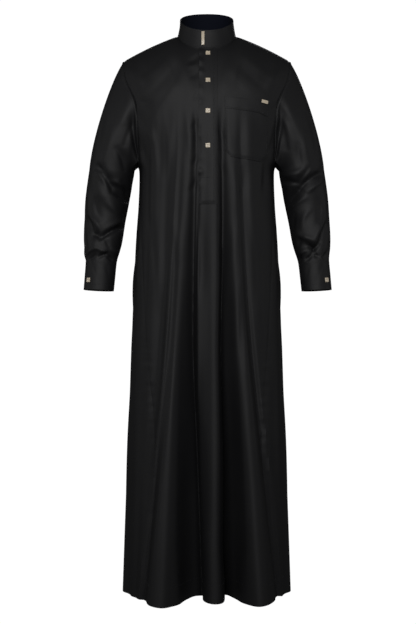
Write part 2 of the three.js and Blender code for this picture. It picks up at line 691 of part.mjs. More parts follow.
// A grid moved along its normals, for what lies on or under a wall
function movedGrid(grid, distance, extraTop) {
  const last = grid.rows.length - 1;
  const rows = grid.rows.map((row, i) => row.map((point, j) => {
    const moved = point.clone().addScaledVector(grid.normals[i][j], distance);
    if (i === last && extraTop) {
      const up = point.clone().sub(grid.rows[i - 1][j]).normalize();
      moved.addScaledVector(up, extraTop);
    }
    return moved;
  }));
  const moved = makeGrid(rows, grid.around);
  gridNormals(moved);
  return moved;
}
const FACING_RISE = 1;
const facing = movedGrid(collar, -(BAND_CLOTH + SEAM_GAP), FACING_RISE);

// Points of a finished grid between its rows and columns
function onGrid(grid, row, column, distance) {
  const i = THREE.MathUtils.clamp(Math.floor(row), 0, grid.rows.length - 2);
  const j = THREE.MathUtils.clamp(Math.floor(column), 0, grid.rows[0].length - 2);
  const up = row - i;
  const across = column - j;
  const mix = (table) => {
    const low = table[i][j].clone().lerp(table[i][j + 1], across);
    const high = table[i + 1][j].clone().lerp(table[i + 1][j + 1], across);
    return low.lerp(high, up);
  };
  const normal = mix(grid.normals).normalize();
  return { point: mix(grid.rows).addScaledVector(normal, distance), normal };
}

// The row and column of the front at which its skin lies at a given x and z
function findOnFront(x, z) {
  const lastRow = front.rows.length - 1;
  const lastColumn = front.rows[0].length - 1;
  let row = lastRow / 2;
  let column = lastColumn / 2;
  for (let pass = 0; pass < 24; pass += 1) {
    let i = lastRow - 1;
    while (i > 0 && onGrid(front, i, column, 0).point.z > z) i -= 1;
    const low = onGrid(front, i, column, 0).point.z;
    const high = onGrid(front, i + 1, column, 0).point.z;
    row = i + THREE.MathUtils.clamp((z - low) / (high - low), 0, 1);
    let j = lastColumn - 1;
    while (j > 0 && onGrid(front, row, j, 0).point.x > x) j -= 1;
    const near = onGrid(front, row, j, 0).point.x;
    const far = onGrid(front, row, j + 1, 0).point.x;
    column = j + THREE.MathUtils.clamp((x - near) / (far - near), 0, 1);
  }
  return { row, column };
}

function onFront(x, z, distance) {
  const { row, column } = findOnFront(x, z);
  return onGrid(front, row, column, distance);
}

// A patch on the front: its points by rows from the bottom, its directions from the panel
function patchGrid(rowCount, columnCount, place, distance) {
  const rows = [];
  const normals = [];
  for (let i = 0; i <= rowCount; i += 1) {
    const found = [];
    for (let j = 0; j <= columnCount; j += 1) {
      const { x, z } = place(j / columnCount, i / rowCount);
      found.push(onFront(x, z, distance));
    }
    rows.push(found.map((item) => item.point));
    normals.push(found.map((item) => item.normal));
  }
  const grid = makeGrid(rows, false);
  grid.normals = normals;
  return grid;
}

// Height of the neck seam on the front at a place across it
function neckSeamZ(x) {
  const turn = -Math.acos(x / NECK.halfWidth);
  return ovalPoint(NECK, turn).z;
}

const placket = patchGrid(PLACKET.rows, PLACKET.columns, (across, up) => {
  const x = THREE.MathUtils.lerp(PLACKET.right, PLACKET.left, across);
  return { x, z: THREE.MathUtils.lerp(PLACKET.bottomZ, neckSeamZ(x) - PLACKET.topGap, up) };
}, TRIM_LIFT + CLOTH);

function pocketTop(across) {
  const width = POCKET.left - POCKET.right;
  const corner = POCKET.topCorner * smoothStep(0.75, 1, across);
  return POCKET.topZ + POCKET.topSlope * width * across + corner;
}

function pocketBottom(across) {
  const width = POCKET.left - POCKET.right;
  const fromEdge = Math.min(across, 1 - across) * width;
  const cut = Math.max(POCKET.corner - fromEdge, 0);
  return POCKET.topZ - POCKET.depth + POCKET.bottomSlope * width * across + cut;
}

function pocketX(across) {
  return THREE.MathUtils.lerp(POCKET.right, POCKET.left, across);
}

const pocket = patchGrid(POCKET.rows, POCKET.columns, (across, up) => ({
  x: pocketX(across),
  z: THREE.MathUtils.lerp(pocketBottom(across), pocketTop(across), up),
}), POCKET_LIFT + CLOTH);

const pocketBand = patchGrid(POCKET_BAND.rows, POCKET_BAND.columns, (across, up) => ({
  x: pocketX(across),
  z: pocketTop(across) - POCKET_BAND.depth * (1 - up),
}), POCKET_LIFT + TRIM_LIFT + 2 * CLOTH);

const tagTilt = THREE.MathUtils.degToRad(POCKET_TAG.tilt);
const pocketTag = patchGrid(POCKET_TAG.rows, POCKET_TAG.columns, (across, up) => {
  const a = (across - 0.5) * POCKET_TAG.width;
  const b = (up - 0.5) * POCKET_TAG.height;
  return {
    x: POCKET_TAG.x + a * Math.cos(tagTilt) - b * Math.sin(tagTilt),
    z: POCKET_TAG.z + a * Math.sin(tagTilt) + b * Math.cos(tagTilt),
  };
}, POCKET_LIFT + 2 * TRIM_LIFT + 2 * CLOTH + POCKET_TAG.thick);

// The bar on the collar covers the place where the ends of the band meet
function collarBarGrid() {
  const lower = ovalPoint(NECK, -Math.acos(COLLAR_SLIT_X / NECK.halfWidth));
  const upper = ovalPoint(RIM, -Math.acos(COLLAR_SLIT_X / RIM.halfWidth));
  const normal = new THREE.Vector3(lower.x / NECK.halfWidth ** 2,
    (lower.y - NECK.middleY) / NECK.halfDepth ** 2, 0).normalize();
  const up = upper.clone().sub(lower).normalize();
  const side = up.clone().cross(normal).normalize().negate();
  const rows = [];
  for (let i = 0; i <= COLLAR_BAR.rows; i += 1) {
    const share = THREE.MathUtils.lerp(COLLAR_BAR.fromShare, COLLAR_BAR.toShare, i / COLLAR_BAR.rows);
    const row = [];
    for (let j = 0; j <= COLLAR_BAR.columns; j += 1) {
      const across = (j / COLLAR_BAR.columns - 0.5) * COLLAR_BAR.width;
      row.push(lower.clone().lerp(upper, share).addScaledVector(side, -across)
        .addScaledVector(normal, SEAM_GAP + COLLAR_BAR.thick + 0.3));
    }
    rows.push(row);
  }
  return makeGrid(rows, false);
}
const collarBar = collarBarGrid();
gridNormals(collarBar);

// A square button with a cross groove, standing on the cloth along its normal
function buttonGeometry() {
  const half = BUTTON.size / 2;
  const groove = BUTTON.grooveWidth / 2;
  const stops = [-half, -groove, 0, groove, half];
  const rows = stops.map((z) => stops.map((x) => {
    const sunk = x === 0 || z === 0 ? BUTTON.groove : 0;
    return new THREE.Vector3(x, -(BUTTON.thick - sunk), z);
  }));
  const grid = makeGrid(rows, false);
  grid.normals = rows.map((row) => row.map(() => new THREE.Vector3(0, -1, 0)));
  return wallGeometry(grid, (i, j) => -rows[i][j].y);
}

function placeButton(name, seat) {
  const mesh = new THREE.Mesh(buttonGeometry(), new THREE.MeshStandardMaterial(cream));
  mesh.name = name;
  mesh.quaternion.setFromUnitVectors(new THREE.Vector3(0, -1, 0), seat.normal);
  mesh.position.copy(seat.point);
  return mesh;
}

function clothMesh(name, grid, thickness, finish) {
  const mesh = new THREE.Mesh(wallGeometry(grid, thickness), new THREE.MeshStandardMaterial(finish));
  mesh.name = name;
  return mesh;
}

function turnedHem(i) {
  return i < HEM_ROWS ? HEM_CLOTH : CLOTH;
}

const thobe = new THREE.Group();
thobe.add(
  clothMesh('front_panel', front, turnedHem, black),
  clothMesh('back_panel', back, turnedHem, black),
  clothMesh('side_panel_right', sideRight, turnedHem, black),
  clothMesh('side_panel_left', sideLeft, turnedHem, black),
  clothMesh('sleeve_right', sleeveRight, CLOTH, black),
  clothMesh('sleeve_left', sleeveLeft, CLOTH, black),
  clothMesh('cuff_right', cuffRight, CUFF_CLOTH, black),
  clothMesh('cuff_left', cuffLeft, CUFF_CLOTH, black),
  clothMesh('collar_band', collar, BAND_CLOTH, black),
  clothMesh('collar_facing', facing, FACING_CLOTH, navy),
  clothMesh('placket', placket, CLOTH, black),
  clothMesh('chest_pocket', pocket, CLOTH, black),
  clothMesh('pocket_band', pocketBand, CLOTH, black),
  clothMesh('pocket_tag', pocketTag, POCKET_TAG.thick, cream),
  clothMesh('collar_bar', collarBar, COLLAR_BAR.thick, cream),
);

BUTTON_HEIGHTS.forEach((z, i) => {
  const seat = onFront(BUTTON_X, z, TRIM_LIFT + CLOTH + BUTTON.liftOff);
  thobe.add(placeButton(`front_button_${i + 1}`, seat));
});

[[-1, 'right'], [1, 'left']].forEach(([side, name]) => {
  const turn = THREE.MathUtils.degToRad(CUFF_BUTTON.turn);
  const { point } = armPoint(side, CUFF_BUTTON.z, turn);
  const middle = armSection(side, CUFF_BUTTON.z).middle;
  const normal = point.clone().sub(middle).normalize();
  point.addScaledVector(normal, BUTTON.liftOff);
  thobe.add(placeButton(`cuff_button_${name}`, { point, normal }));
});

export default thobe;
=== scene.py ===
# %% [markdown]
# # A black thobe, worn shape with nobody in it
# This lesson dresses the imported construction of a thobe: a long plain dress of fine black suiting
# cloth with a band collar, a buttoned placket, a chest pocket and buttoned cuffs. The frame gives
# every piece its place. Each cloth piece is drawn again here as a thin shell on the same form, with
# far more points, so that it can carry the small creases, seams and stitches of real cloth.

# %% Load the frame
import math

import bmesh
import bpy
import numpy as np
from mathutils import Matrix, Vector, kdtree
from mathutils.bvhtree import BVHTree


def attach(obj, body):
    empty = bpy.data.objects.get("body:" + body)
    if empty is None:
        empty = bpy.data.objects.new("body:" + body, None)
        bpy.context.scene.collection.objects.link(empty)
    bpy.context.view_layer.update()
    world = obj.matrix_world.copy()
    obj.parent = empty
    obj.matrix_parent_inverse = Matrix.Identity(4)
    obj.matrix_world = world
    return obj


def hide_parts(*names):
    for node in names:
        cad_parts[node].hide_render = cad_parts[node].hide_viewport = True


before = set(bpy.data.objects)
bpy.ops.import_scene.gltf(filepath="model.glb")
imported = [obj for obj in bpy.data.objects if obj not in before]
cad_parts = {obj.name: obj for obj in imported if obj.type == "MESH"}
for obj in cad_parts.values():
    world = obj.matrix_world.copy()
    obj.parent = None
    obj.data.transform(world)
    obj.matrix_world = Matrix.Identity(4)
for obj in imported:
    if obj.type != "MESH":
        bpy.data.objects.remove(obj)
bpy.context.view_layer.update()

MM = 0.001

# %% [markdown]
# The camera stands where the photographer's did: 3.2 m in front, half-way up the garment, looking
# straight at it. It could be moved by eye until the picture fits. Worked out from the real size of
# collar and buttons, it needs no trying, and the long lens keeps the hem from spreading. The camera
# comes first, because everything is compared through it.

# %% Camera
CAMERA_DISTANCE = 3.2
CAMERA_SIDE = 0.0034
CAMERA_HEIGHT = -0.72
PHOTO_HEIGHT = 624
FOCAL_PIXELS = 1221
SENSOR = 36.0

camera_data = bpy.data.cameras.new("camera")
camera_data.sensor_width = SENSOR
camera_data.lens = FOCAL_PIXELS * SENSOR / PHOTO_HEIGHT
camera = bpy.data.objects.new("camera", camera_data)
camera.location = (CAMERA_SIDE, -CAMERA_DISTANCE, CAMERA_HEIGHT)
camera.rotation_euler = (math.pi / 2, 0, 0)
bpy.context.scene.collection.objects.link(camera)
bpy.context.scene.camera = camera
print("camera lens", round(camera_data.lens, 2), "mm")

# %% [markdown]
# A garment is described by few measures: how wide and deep the body is at some heights, where the
# panels end, and where the sleeve's middle runs. A dummy could be sculpted instead, but nobody can
# read a measure off it. These tables, in millimetres, are the ones that the construction uses, and a
# smooth curve through the rows gives every height in between.

# %% Tables of the form, in millimetres
HEM_Z = -1448
HEM_DEPTH = 50
ARMPIT_Z = -333
SHOULDER = {"x": 216, "y": 2, "z": -63, "bulge": 3.5}
CHEST_SHARE = 0.53
NECK = {"half_width": 76, "half_depth": 75, "middle_y": -5, "side": 0, "slope": 37, "dip": 7}
RIM = {"half_width": 69.5, "half_depth": 70, "middle_y": -5, "side": 43, "slope": 37, "dip": 5}
NECK_SHARE = 10 / 28
BODY_ROUNDNESS = 2.3

# height, half width, depth at the front, depth at the back
BODY_SECTIONS = np.array([
    (-1448, 220, 126, 132),
    (-1300, 215, 126, 131),
    (-1160, 210, 126, 130),
    (-951, 202, 125, 128),
    (-768, 196, 125, 125),
    (-637, 190, 126, 119),
    (-532, 185, 127, 114),
    (-427, 178, 129, 114),
    (-350, 177, 129, 119),
    (-333, 184, 128, 121),
    (-288, 192, 127, 124),
    (-190, 214, 122, 128),
    (-120, 232, 114, 126),
    (-40, 245, 108, 122),
    (40, 250, 108, 122),
], float)
WIDTH, FRONT_DEPTH, BACK_DEPTH = 1, 2, 3

# height, reach of the panel on the wearer's right, reach on the left
PANEL_EDGES = np.array([
    (-1448, 157, 170),
    (-1330, 148, 159),
    (-1210, 134, 147),
    (-1090, 127, 138),
    (-975, 136, 140),
    (-797, 153, 156),
    (-560, 167, 169),
    (-400, 171, 171),
    (-333, 176, 176),
    (-288, 178, 178),
    (-240, 178, 178),
    (-190, 182, 182),
    (-140, 193, 193),
    (-84, 212, 212),
    (-63, 216, 216),
], float)

# height, middle sideways, middle forwards, half width, half depth
ARM_SECTIONS = np.array([
    (-664, 281, -22, 39.3, 38.5),
    (-628, 278, -19, 39.8, 39),
    (-592, 275.2, -16, 40.3, 39.5),
    (-578, 274.3, -14, 42, 42),
    (-558, 273, -11, 46.5, 48),
    (-532, 271, -6, 50.5, 53),
    (-479, 267, 4, 54, 57),
    (-427, 261, 8, 57.5, 61),
    (-354, 249, 4, 59, 66),
], float)
CUFF_TOP_Z = -592
CUFF_BOTTOM_Z = -664
ARM_TOP_Z = -354
LEFT_CUFF_DRIFT = 5
DRIFT_START_Z = -400
CAP_LEAVES = {"over": (64, 0, -46), "middle": (133, 30, -56), "under": (14, 0, 2)}


def bridge(start, leave, end, arrive, t):
    """A smooth curve from start to end that leaves and arrives at given speeds; t runs 0 to 1."""
    return (start * (1 + 2 * t) * (1 - t) ** 2 + end * t * t * (3 - 2 * t)
            + leave * t * (1 - t) ** 2 - arrive * t * t * (1 - t))


def from_table(table, column, value):
    """A smooth curve through one column of a table whose first column rises."""
    keys, values = table[:, 0], table[:, column]
    slopes = np.empty_like(values)
    slopes[1:-1] = (values[2:] - values[:-2]) / (keys[2:] - keys[:-2])
    slopes[0] = (values[1] - values[0]) / (keys[1] - keys[0])
    slopes[-1] = (values[-1] - values[-2]) / (keys[-1] - keys[-2])
    value = np.clip(np.asarray(value, float), keys[0], keys[-1])
    low = np.clip(np.searchsorted(keys, value, side="right") - 1, 0, len(keys) - 2)
    span = keys[low + 1] - keys[low]
    return bridge(values[low], slopes[low] * span, values[low + 1], slopes[low + 1] * span,
                  (value - keys[low]) / span)


def smooth(low, high, value):
    """0 below low, 1 above high, and a soft step between them."""
    share = np.clip((value - low) / (high - low), 0, 1)
    return share * share * (3 - 2 * share)


def hump(away, width):
    """1 in the middle of a soft rounded hump, nearly 0 at two widths from it."""
    return np.exp(-((away / width) ** 2))


print("tables:", len(BODY_SECTIONS), "body sections,", len(ARM_SECTIONS), "arm sections")

# %% [markdown]
# The front and the back are cut in one piece each from hem to shoulder. Flat pieces could be sewn and
# draped on a dummy by simulation, but each run gives other folds, so the worn form is drawn at once.
# A point on it is given by its column, from -1 at one edge to 1 at the other, and by the height at
# which its row meets the side seam or armhole. Below the chest the body is an oval. Above it the
# cloth arches over to the shoulder seam, and between the seams the arch is cut short at the neck.

# %% The plain form of the body
def oval_y(face, x, z):
    """Depth of the body's oval at a place across it; face is -1 for the front, 1 for the back."""
    half_width = from_table(BODY_SECTIONS, WIDTH, z)
    depth = from_table(BODY_SECTIONS, FRONT_DEPTH if face < 0 else BACK_DEPTH, z)
    across = np.minimum(np.abs(x) / half_width, 1)
    return face * depth * (1 - across ** BODY_ROUNDNESS) ** (1 / BODY_ROUNDNESS)


def oval_height(ring, sine):
    return ring["side"] + ring["slope"] * sine - ring["dip"] * sine * sine


def top_of(face, column):
    """Top edge of a panel: the shoulder seam outside the neck share, the neck seam inside it."""
    side = np.where(column < 0, -1.0, 1.0)
    across = np.abs(column)
    turn = np.minimum(across / NECK_SHARE, 1) * (math.pi / 2)
    sine = face * np.cos(turn)
    share = np.clip((across - NECK_SHARE) / (1 - NECK_SHARE), 0, 1)
    at_neck = across <= NECK_SHARE
    x = np.where(at_neck, NECK["half_width"] * np.sin(turn),
                 NECK["half_width"] + (SHOULDER["x"] - NECK["half_width"]) * share) * side
    y = np.where(at_neck, NECK["middle_y"] + NECK["half_depth"] * sine,
                 NECK["middle_y"] + (SHOULDER["y"] - NECK["middle_y"]) * share)
    seam_z = (NECK["side"] + (SHOULDER["z"] - NECK["side"]) * share
              + SHOULDER["bulge"] * np.sin(np.pi * share))
    z = np.where(at_neck, oval_height(NECK, sine), seam_z)
    return x, y, z


def panel_reach(side, z):
    """How far the front and back panels reach sideways; side is negative on the right."""
    return np.where(side < 0, from_table(PANEL_EDGES, 1, z), from_table(PANEL_EDGES, 2, z))


def panel_points(face, column, edge_z):
    """Points of the front or back, in millimetres, for arrays of columns and of edge heights."""
    column = np.asarray(column, float)
    edge_z = np.asarray(edge_z, float)
    top_x, top_y, top_z = top_of(face, column)
    up_share = np.maximum((edge_z - ARMPIT_Z) / (SHOULDER["z"] - ARMPIT_Z), 0)
    z = np.where(edge_z <= ARMPIT_Z, edge_z, ARMPIT_Z + (top_z - ARMPIT_Z) * up_share)
    arch = np.clip((up_share - CHEST_SHARE) / (1 - CHEST_SHARE), 0, 1)
    reach = panel_reach(column, edge_z)
    straight_x = column * reach
    x = straight_x + (top_x - straight_x) * smooth(0, 1, arch)
    y = oval_y(face, x, z)
    ridge_y = np.where(np.abs(column) <= NECK_SHARE, NECK["middle_y"], top_y)
    end_share = np.clip((top_y - ridge_y) / (y - ridge_y), 0, 1)
    bend = arch * arch * (1 - end_share * end_share)
    return np.stack([x, ridge_y + (y - ridge_y) * np.sqrt(np.maximum(1 - bend, 0)), z], -1)


def side_points(side, share, z):
    """Points of a side panel; share runs from its front seam to its back seam."""
    share = np.asarray(share, float)
    z = np.asarray(z, float)
    half_width = from_table(BODY_SECTIONS, WIDTH, z)
    power = BODY_ROUNDNESS / 2
    reach = panel_reach(side, z)
    seam_turn = np.arccos((reach / half_width) ** power)
    turn = seam_turn * (2 * share - 1)
    depth = np.where(turn < 0, from_table(BODY_SECTIONS, FRONT_DEPTH, z),
                     from_table(BODY_SECTIONS, BACK_DEPTH, z))
    x = side * half_width * np.cos(turn) ** (1 / power)
    y = np.sign(turn) * depth * np.abs(np.sin(turn)) ** (1 / power)
    return np.stack([x, y, z + 0 * turn], -1)


# Rows and columns of the fine grids, all shared where pieces meet
SKIRT_ROWS = 170
ARMPIT_ROWS = 4
ARMPIT_BAND = 14
CHEST_ROWS = 24
ARCH_ROWS = 40
FRONT_COLUMNS = 140
SIDE_COLUMNS = 34


def row_heights():
    skirt = np.linspace(HEM_Z, ARMPIT_Z - ARMPIT_BAND, SKIRT_ROWS + 1)
    skirt = np.append(skirt, np.linspace(ARMPIT_Z - ARMPIT_BAND, ARMPIT_Z, ARMPIT_ROWS + 1)[1:])
    span = SHOULDER["z"] - ARMPIT_Z
    chest = ARMPIT_Z + span * CHEST_SHARE * np.arange(1, CHEST_ROWS + 1) / CHEST_ROWS
    rise = np.sin(np.pi / 2 * np.arange(1, ARCH_ROWS + 1) / ARCH_ROWS)
    arch = ARMPIT_Z + span * (CHEST_SHARE + (1 - CHEST_SHARE) * rise)
    return skirt, np.concatenate([skirt, chest, arch])


SKIRT_HEIGHTS, PANEL_HEIGHTS = row_heights()
COLUMNS = np.linspace(-1, 1, FRONT_COLUMNS + 1)
print("rows", len(PANEL_HEIGHTS), "columns", len(COLUMNS))

# %% [markdown]
# Cloth that hangs from the chest makes long folds that start as shallow ripples and deepen down to
# the hem. A simulation would choose its own folds, and a displacement picture can't follow them, so
# they are placed one by one. Each fold is a row: where it runs at five heights, how far it stands out
# there, and how wide its two flanks are. The first rows are in the construction too. The finer ones
# further down are the small ripples between the big folds, uneven as on the real cloth.

# %% Tables of the hanging folds
FOLD_LEVELS = np.array([-1448, -1110, -820, -600, -300], float)
FLANK_SHARES = np.array([1, 0.86, 0.76, 0.68, 0.6])
FOLD_POWER = 2.5
# Each row: places at the levels from the hem up, lifts there, right flank, left flank
FRONT_FOLDS = [
    ((-168, -158, -150, -138, -131), (8, 5, 4, 4, 3), 24, 20),
    ((-140, -128, -118, -108, -98), (-2, -3, -4, -4, -2), 16, 16),
    ((-108, -96, -78, -60, -35), (56, 36, 18, 9, 2), 44, 36),
    ((-32, -42, -51, -42, -22), (-48, -42, -25, -13, -3), 28, 28),
    ((18, 21, 21, 20, 22), (28, 20, 12, 7, 2), 26, 20),
    ((58, 60, 46, 48, 40), (-62, -44, -24, -12, -3), 20, 26),
    ((124, 107, 91, 78, 57), (56, 36, 18, 9, 2), 30, 40),
    ((150, 132, 110, 100, 88), (-4, -4, -4, -4, -2), 16, 16),
    ((172, 152, 140, 127, 105), (8, 5, 4, 4, 2), 20, 24),
]
BACK_FOLDS = [
    ((-146, -142, -136, -128, -120), (34, 22, 11, 6, 2), 30, 26),
    ((-96, -98, -96, -92, -88), (-30, -20, -11, -6, -2), 22, 22),
    ((-50, -50, -46, -42, -40), (40, 28, 15, 8, 2), 26, 30),
    ((2, 0, -4, -8, -8), (-38, -26, -15, -9, -3), 24, 20),
    ((50, 44, 36, 28, 24), (36, 25, 13, 7, 2), 24, 28),
    ((94, 86, 76, 66, 60), (-30, -20, -11, -6, -2), 20, 24),
    ((142, 134, 124, 112, 100), (38, 25, 13, 7, 2), 30, 26),
]
SIDE_FOLDS = [
    ((-50, -42, -34, -28, -20), (-9, -5, -3, -2, 0), 22, 22),
    ((46, 38, 30, 24, 16), (-11, -6, -3, -2, 0), 22, 22),
]


def at_levels(values, z):
    """A smooth curve through values that are given at the fold levels."""
    return from_table(np.column_stack([FOLD_LEVELS, values]), 1, z)


def fold_lift(folds, place, z):
    """Sum of the heights of hanging folds at places across the panel."""
    total = np.zeros(np.broadcast(place, z).shape)
    for places, lifts, right, left in folds:
        away = place - at_levels(places, z)
        flank = np.where(away < 0, right, left) * at_levels(FLANK_SHARES, z)
        total += at_levels(lifts, z) * np.exp(-(np.abs(away / flank) ** FOLD_POWER))
    return total


print("hanging folds:", len(FRONT_FOLDS) + len(BACK_FOLDS) + 2 * len(SIDE_FOLDS))

# %% [markdown]
# The small creases come next. Cloth pulls between its seams and its fullest places, so short
# troughs and ridges run from the armholes to the chest, across the elbows and above the cuffs. A
# noise texture would make them look like crumpled paper, and a sculpted one can't be changed by a
# number. Each row is one crease: a line with two ends, a height, a flank on each side and a bow. No
# two rows are alike, because even creases look stamped.

# %% Tables of the short creases
# fromX, fromZ, toX, toZ, lift, near flank, far flank, bow
ARMHOLE_CREASES = [
    (-196, -84, -166, -150, 3.5, 12, 12, 0),
    (-176, -70, -150, -140, -2.5, 12, 12, 0),
    (-168, -160, -170, -300, 3, 14, 14, 0),
    (196, -84, 150, -160, 3.5, 12, 12, 0),
    (172, -76, 138, -130, -2.5, 12, 12, 0),
    (168, -170, 170, -300, 3, 14, 14, 0),
]
CHEST_CREASES = [
    # drag lines from the armholes towards the neck and down the chest
    (-84, -60, -186, -140, 0.8, 10, 16, 6),
    (-66, -80, -172, -186, -0.8, 9, 16, 5),
    (-52, -104, -150, -246, 0.9, 10, 18, 4),
    (-178, -176, -136, -196, -2.2, 7, 12, -4),
    (-176, -202, -142, -262, -2.4, 7, 14, -5),
    (-172, -262, -150, -352, -2.6, 7, 13, -4),
    (-160, -216, -140, -300, 2.2, 8, 12, 3),
    (-132, -240, -118, -380, -1.7, 7, 13, 4),
    (-104, -224, -96, -366, 1.4, 8, 14, 4),
    (-76, -250, -88, -410, -1.5, 8, 12, -5),
    (-52, -206, -44, -330, 1.5, 8, 12, 3),
    (-30, -214, -24, -356, -2.0, 6, 12, 2),
    (34, -206, 42, -330, -1.6, 6, 12, -3),
    (62, -336, 70, -470, 1.6, 9, 12, 4),
    (96, -338, 92, -430, -1.6, 8, 13, 3),
    (124, -332, 132, -452, 1.6, 8, 12, 4),
    (150, -318, 142, -420, -2.2, 7, 13, 3),
    (88, -58, 188, -134, 0.8, 10, 16, -6),
    (70, -78, 176, -176, -0.8, 9, 16, -4),
    (54, -96, 120, -170, 0.7, 10, 18, -3),
    (180, -180, 158, -214, -2.2, 7, 12, 4),
    (176, -226, 160, -316, -2.4, 7, 12, 4),
    (-96, -70, -74, -150, -1.2, 9, 14, 5),
    (104, -72, 78, -150, -1.3, 9, 14, -5),
    (-66, -78, -40, -190, 0.9, 10, 16, 6),
    (56, -76, 44, -170, 0.9, 10, 16, -4),
    # pulled places beside the placket, under the buttons
    (-21, -62, -46, -86, -1.6, 5, 9, 2),
    (-21, -86, -52, -98, 1.1, 5, 8, 2),
    (-21, -104, -44, -128, -1.3, 5, 9, 3),
    (-21, -160, -40, -184, -1.1, 5, 9, 3),
    (-21, -232, -46, -262, -1.2, 5, 9, 3),
    (-21, -318, -40, -352, -1.6, 5, 9, 3),
    (-21, -368, -48, -420, -1.9, 5, 10, 3),
    (29, -250, 44, -290, -1.1, 5, 8, -2),
    (29, -330, 46, -380, -1.4, 5, 9, -2),
    # down the skirt, the small ripples between the big folds
    (-146, -470, -130, -640, -2.2, 8, 14, 5),
    (-126, -520, -118, -720, 2.0, 9, 13, 4),
    (-84, -480, -72, -600, 1.8, 8, 14, 3),
    (-18, -470, -10, -690, -1.8, 7, 12, 4),
    (-4, -640, -12, -900, 2.0, 8, 12, -4),
    (34, -500, 36, -760, -1.8, 7, 12, 3),
    (72, -500, 60, -700, 1.8, 8, 12, -4),
    (84, -660, 78, -880, -2.0, 8, 12, 3),
    (112, -500, 126, -700, -2.0, 8, 14, 4),
    (-66, -860, -62, -1180, 2.6, 9, 14, 5),
    (-134, -900, -150, -1200, -2.4, 9, 14, -4),
    (36, -900, 34, -1230, -2.6, 9, 12, 4),
    (84, -960, 82, -1300, 2.8, 9, 14, -5),
    (-10, -1010, -4, -1300, -2.2, 8, 12, 4),
    (128, -930, 150, -1240, 2.4, 9, 14, 5),
]

# Finer hanging folds of the front, between the ones of the construction
FRONT_RIPPLES = [
    ((-130, -112, -98, -88, -70), (1.5, 2, 2.5, 2.5, 0.5), 10, 12),
    ((-154, -118, -92, -80, -66), (-14, -11, -8, -4, -1), 8, 15),
    ((-74, -68, -66, -58, -40), (3, 2.4, 2, 1.2, 0.4), 9, 12),
    ((-12, -12, -12, -8, -2), (-2, -2, -2, -1.4, -0.5), 8, 11),
    ((38, 38, 34, 33, 32), (-2, -2, -2, -1.6, -0.8), 8, 11),
    ((-24, -36, -46, -42, -28), (-10, -9, -8, -6, -2.5), 12, 7),
    ((48, 52, 44, 46, 40), (-10, -9, -8, -6, -2.5), 7, 12),
    ((92, 84, 74, 66, 52), (3, 2.6, 2, 1.2, 0.4), 10, 10),
    ((178, 144, 114, 98, 84), (-14, -11, -8, -4, -1), 15, 8),
    ((-178, -166, -158, -150, -146), (-5, -3, -2, -1.4, -0.6), 9, 9),
]
BACK_RIPPLES = [
    ((-122, -120, -114, -110, -104), (-6, -4, -3, -1.6, -0.5), 9, 13),
    ((-72, -74, -70, -66, -62), (5, 3.4, 2.4, 1.4, 0.4), 10, 12),
    ((-26, -24, -26, -26, -22), (-6, -4, -2.8, -1.6, -0.6), 9, 12),
    ((26, 22, 18, 10, 6), (5, 3.4, 2.4, 1.6, 0.6), 10, 12),
    ((74, 66, 58, 50, 42), (-5, -3.6, -2.6, -1.6, -0.6), 9, 12),
    ((116, 110, 98, 88, 78), (5, 3.6, 2.4, 1.4, 0.4), 10, 12),
    ((166, 154, 146, 134, 120), (-6, -4, -3, -1.6, -0.5), 9, 10),
]
# The back is fuller under the yoke, with drag lines from the armholes to the shoulder blades
BACK_CREASES = [
    (-196, -96, -120, -170, 2.4, 10, 14, 6),
    (-188, -140, -130, -230, -2.2, 8, 13, 5),
    (-178, -210, -140, -300, 2.2, 9, 13, 4),
    (-172, -260, -128, -380, -2.4, 8, 13, 4),
    (194, -100, 126, -178, 2.3, 10, 14, -6),
    (186, -150, 136, -246, -2.3, 8, 13, -5),
    (178, -220, 146, -316, 2.1, 9, 13, -4),
    (172, -270, 120, -372, -2.3, 8, 13, -4),
    (-60, -60, -44, -210, 1.3, 12, 16, 6),
    (66, -62, 50, -200, -1.3, 12, 16, -6),
    (-10, -70, 6, -260, -1.1, 12, 16, 5),
    (-92, -330, -70, -520, -2.2, 9, 14, 5),
    (-20, -320, -28, -500, 2.0, 9, 14, -4),
    (40, -330, 58, -520, -2.1, 9, 14, 5),
    (104, -360, 90, -560, 2.1, 9, 14, -4),
    (-118, -560, -132, -760, 2.4, 9, 13, -4),
    (10, -600, 22, -840, -2.2, 8, 13, 5),
    (78, -700, 62, -940, 2.4, 9, 13, -5),
    (-60, -760, -74, -1040, -2.6, 9, 13, -4),
    (120, -900, 134, -1180, -2.6, 9, 13, 5),
    (-14, -980, -26, -1260, 2.6, 9, 13, -4),
]
# On the sides the rows run by depth instead of width: fromY, fromZ, toY, toZ and so on
SIDE_CREASES = [
    (-40, -350, -20, -480, -2.0, 8, 12, 4),
    (10, -346, 24, -500, 1.8, 8, 12, 4),
    (44, -380, 36, -560, -2.0, 8, 12, -4),
    (-58, -520, -48, -700, 2.0, 9, 12, 4),
    (-12, -560, -4, -800, -1.8, 8, 12, 4),
    (60, -640, 52, -880, 2.0, 9, 12, -4),
    (-70, -860, -80, -1120, -2.2, 9, 12, -4),
    (12, -900, 0, -1200, 2.2, 9, 12, -5),
    (84, -960, 92, -1240, -2.2, 9, 12, 4),
    (0, -590, 0, -710, 5, 34, 34, 0),
]


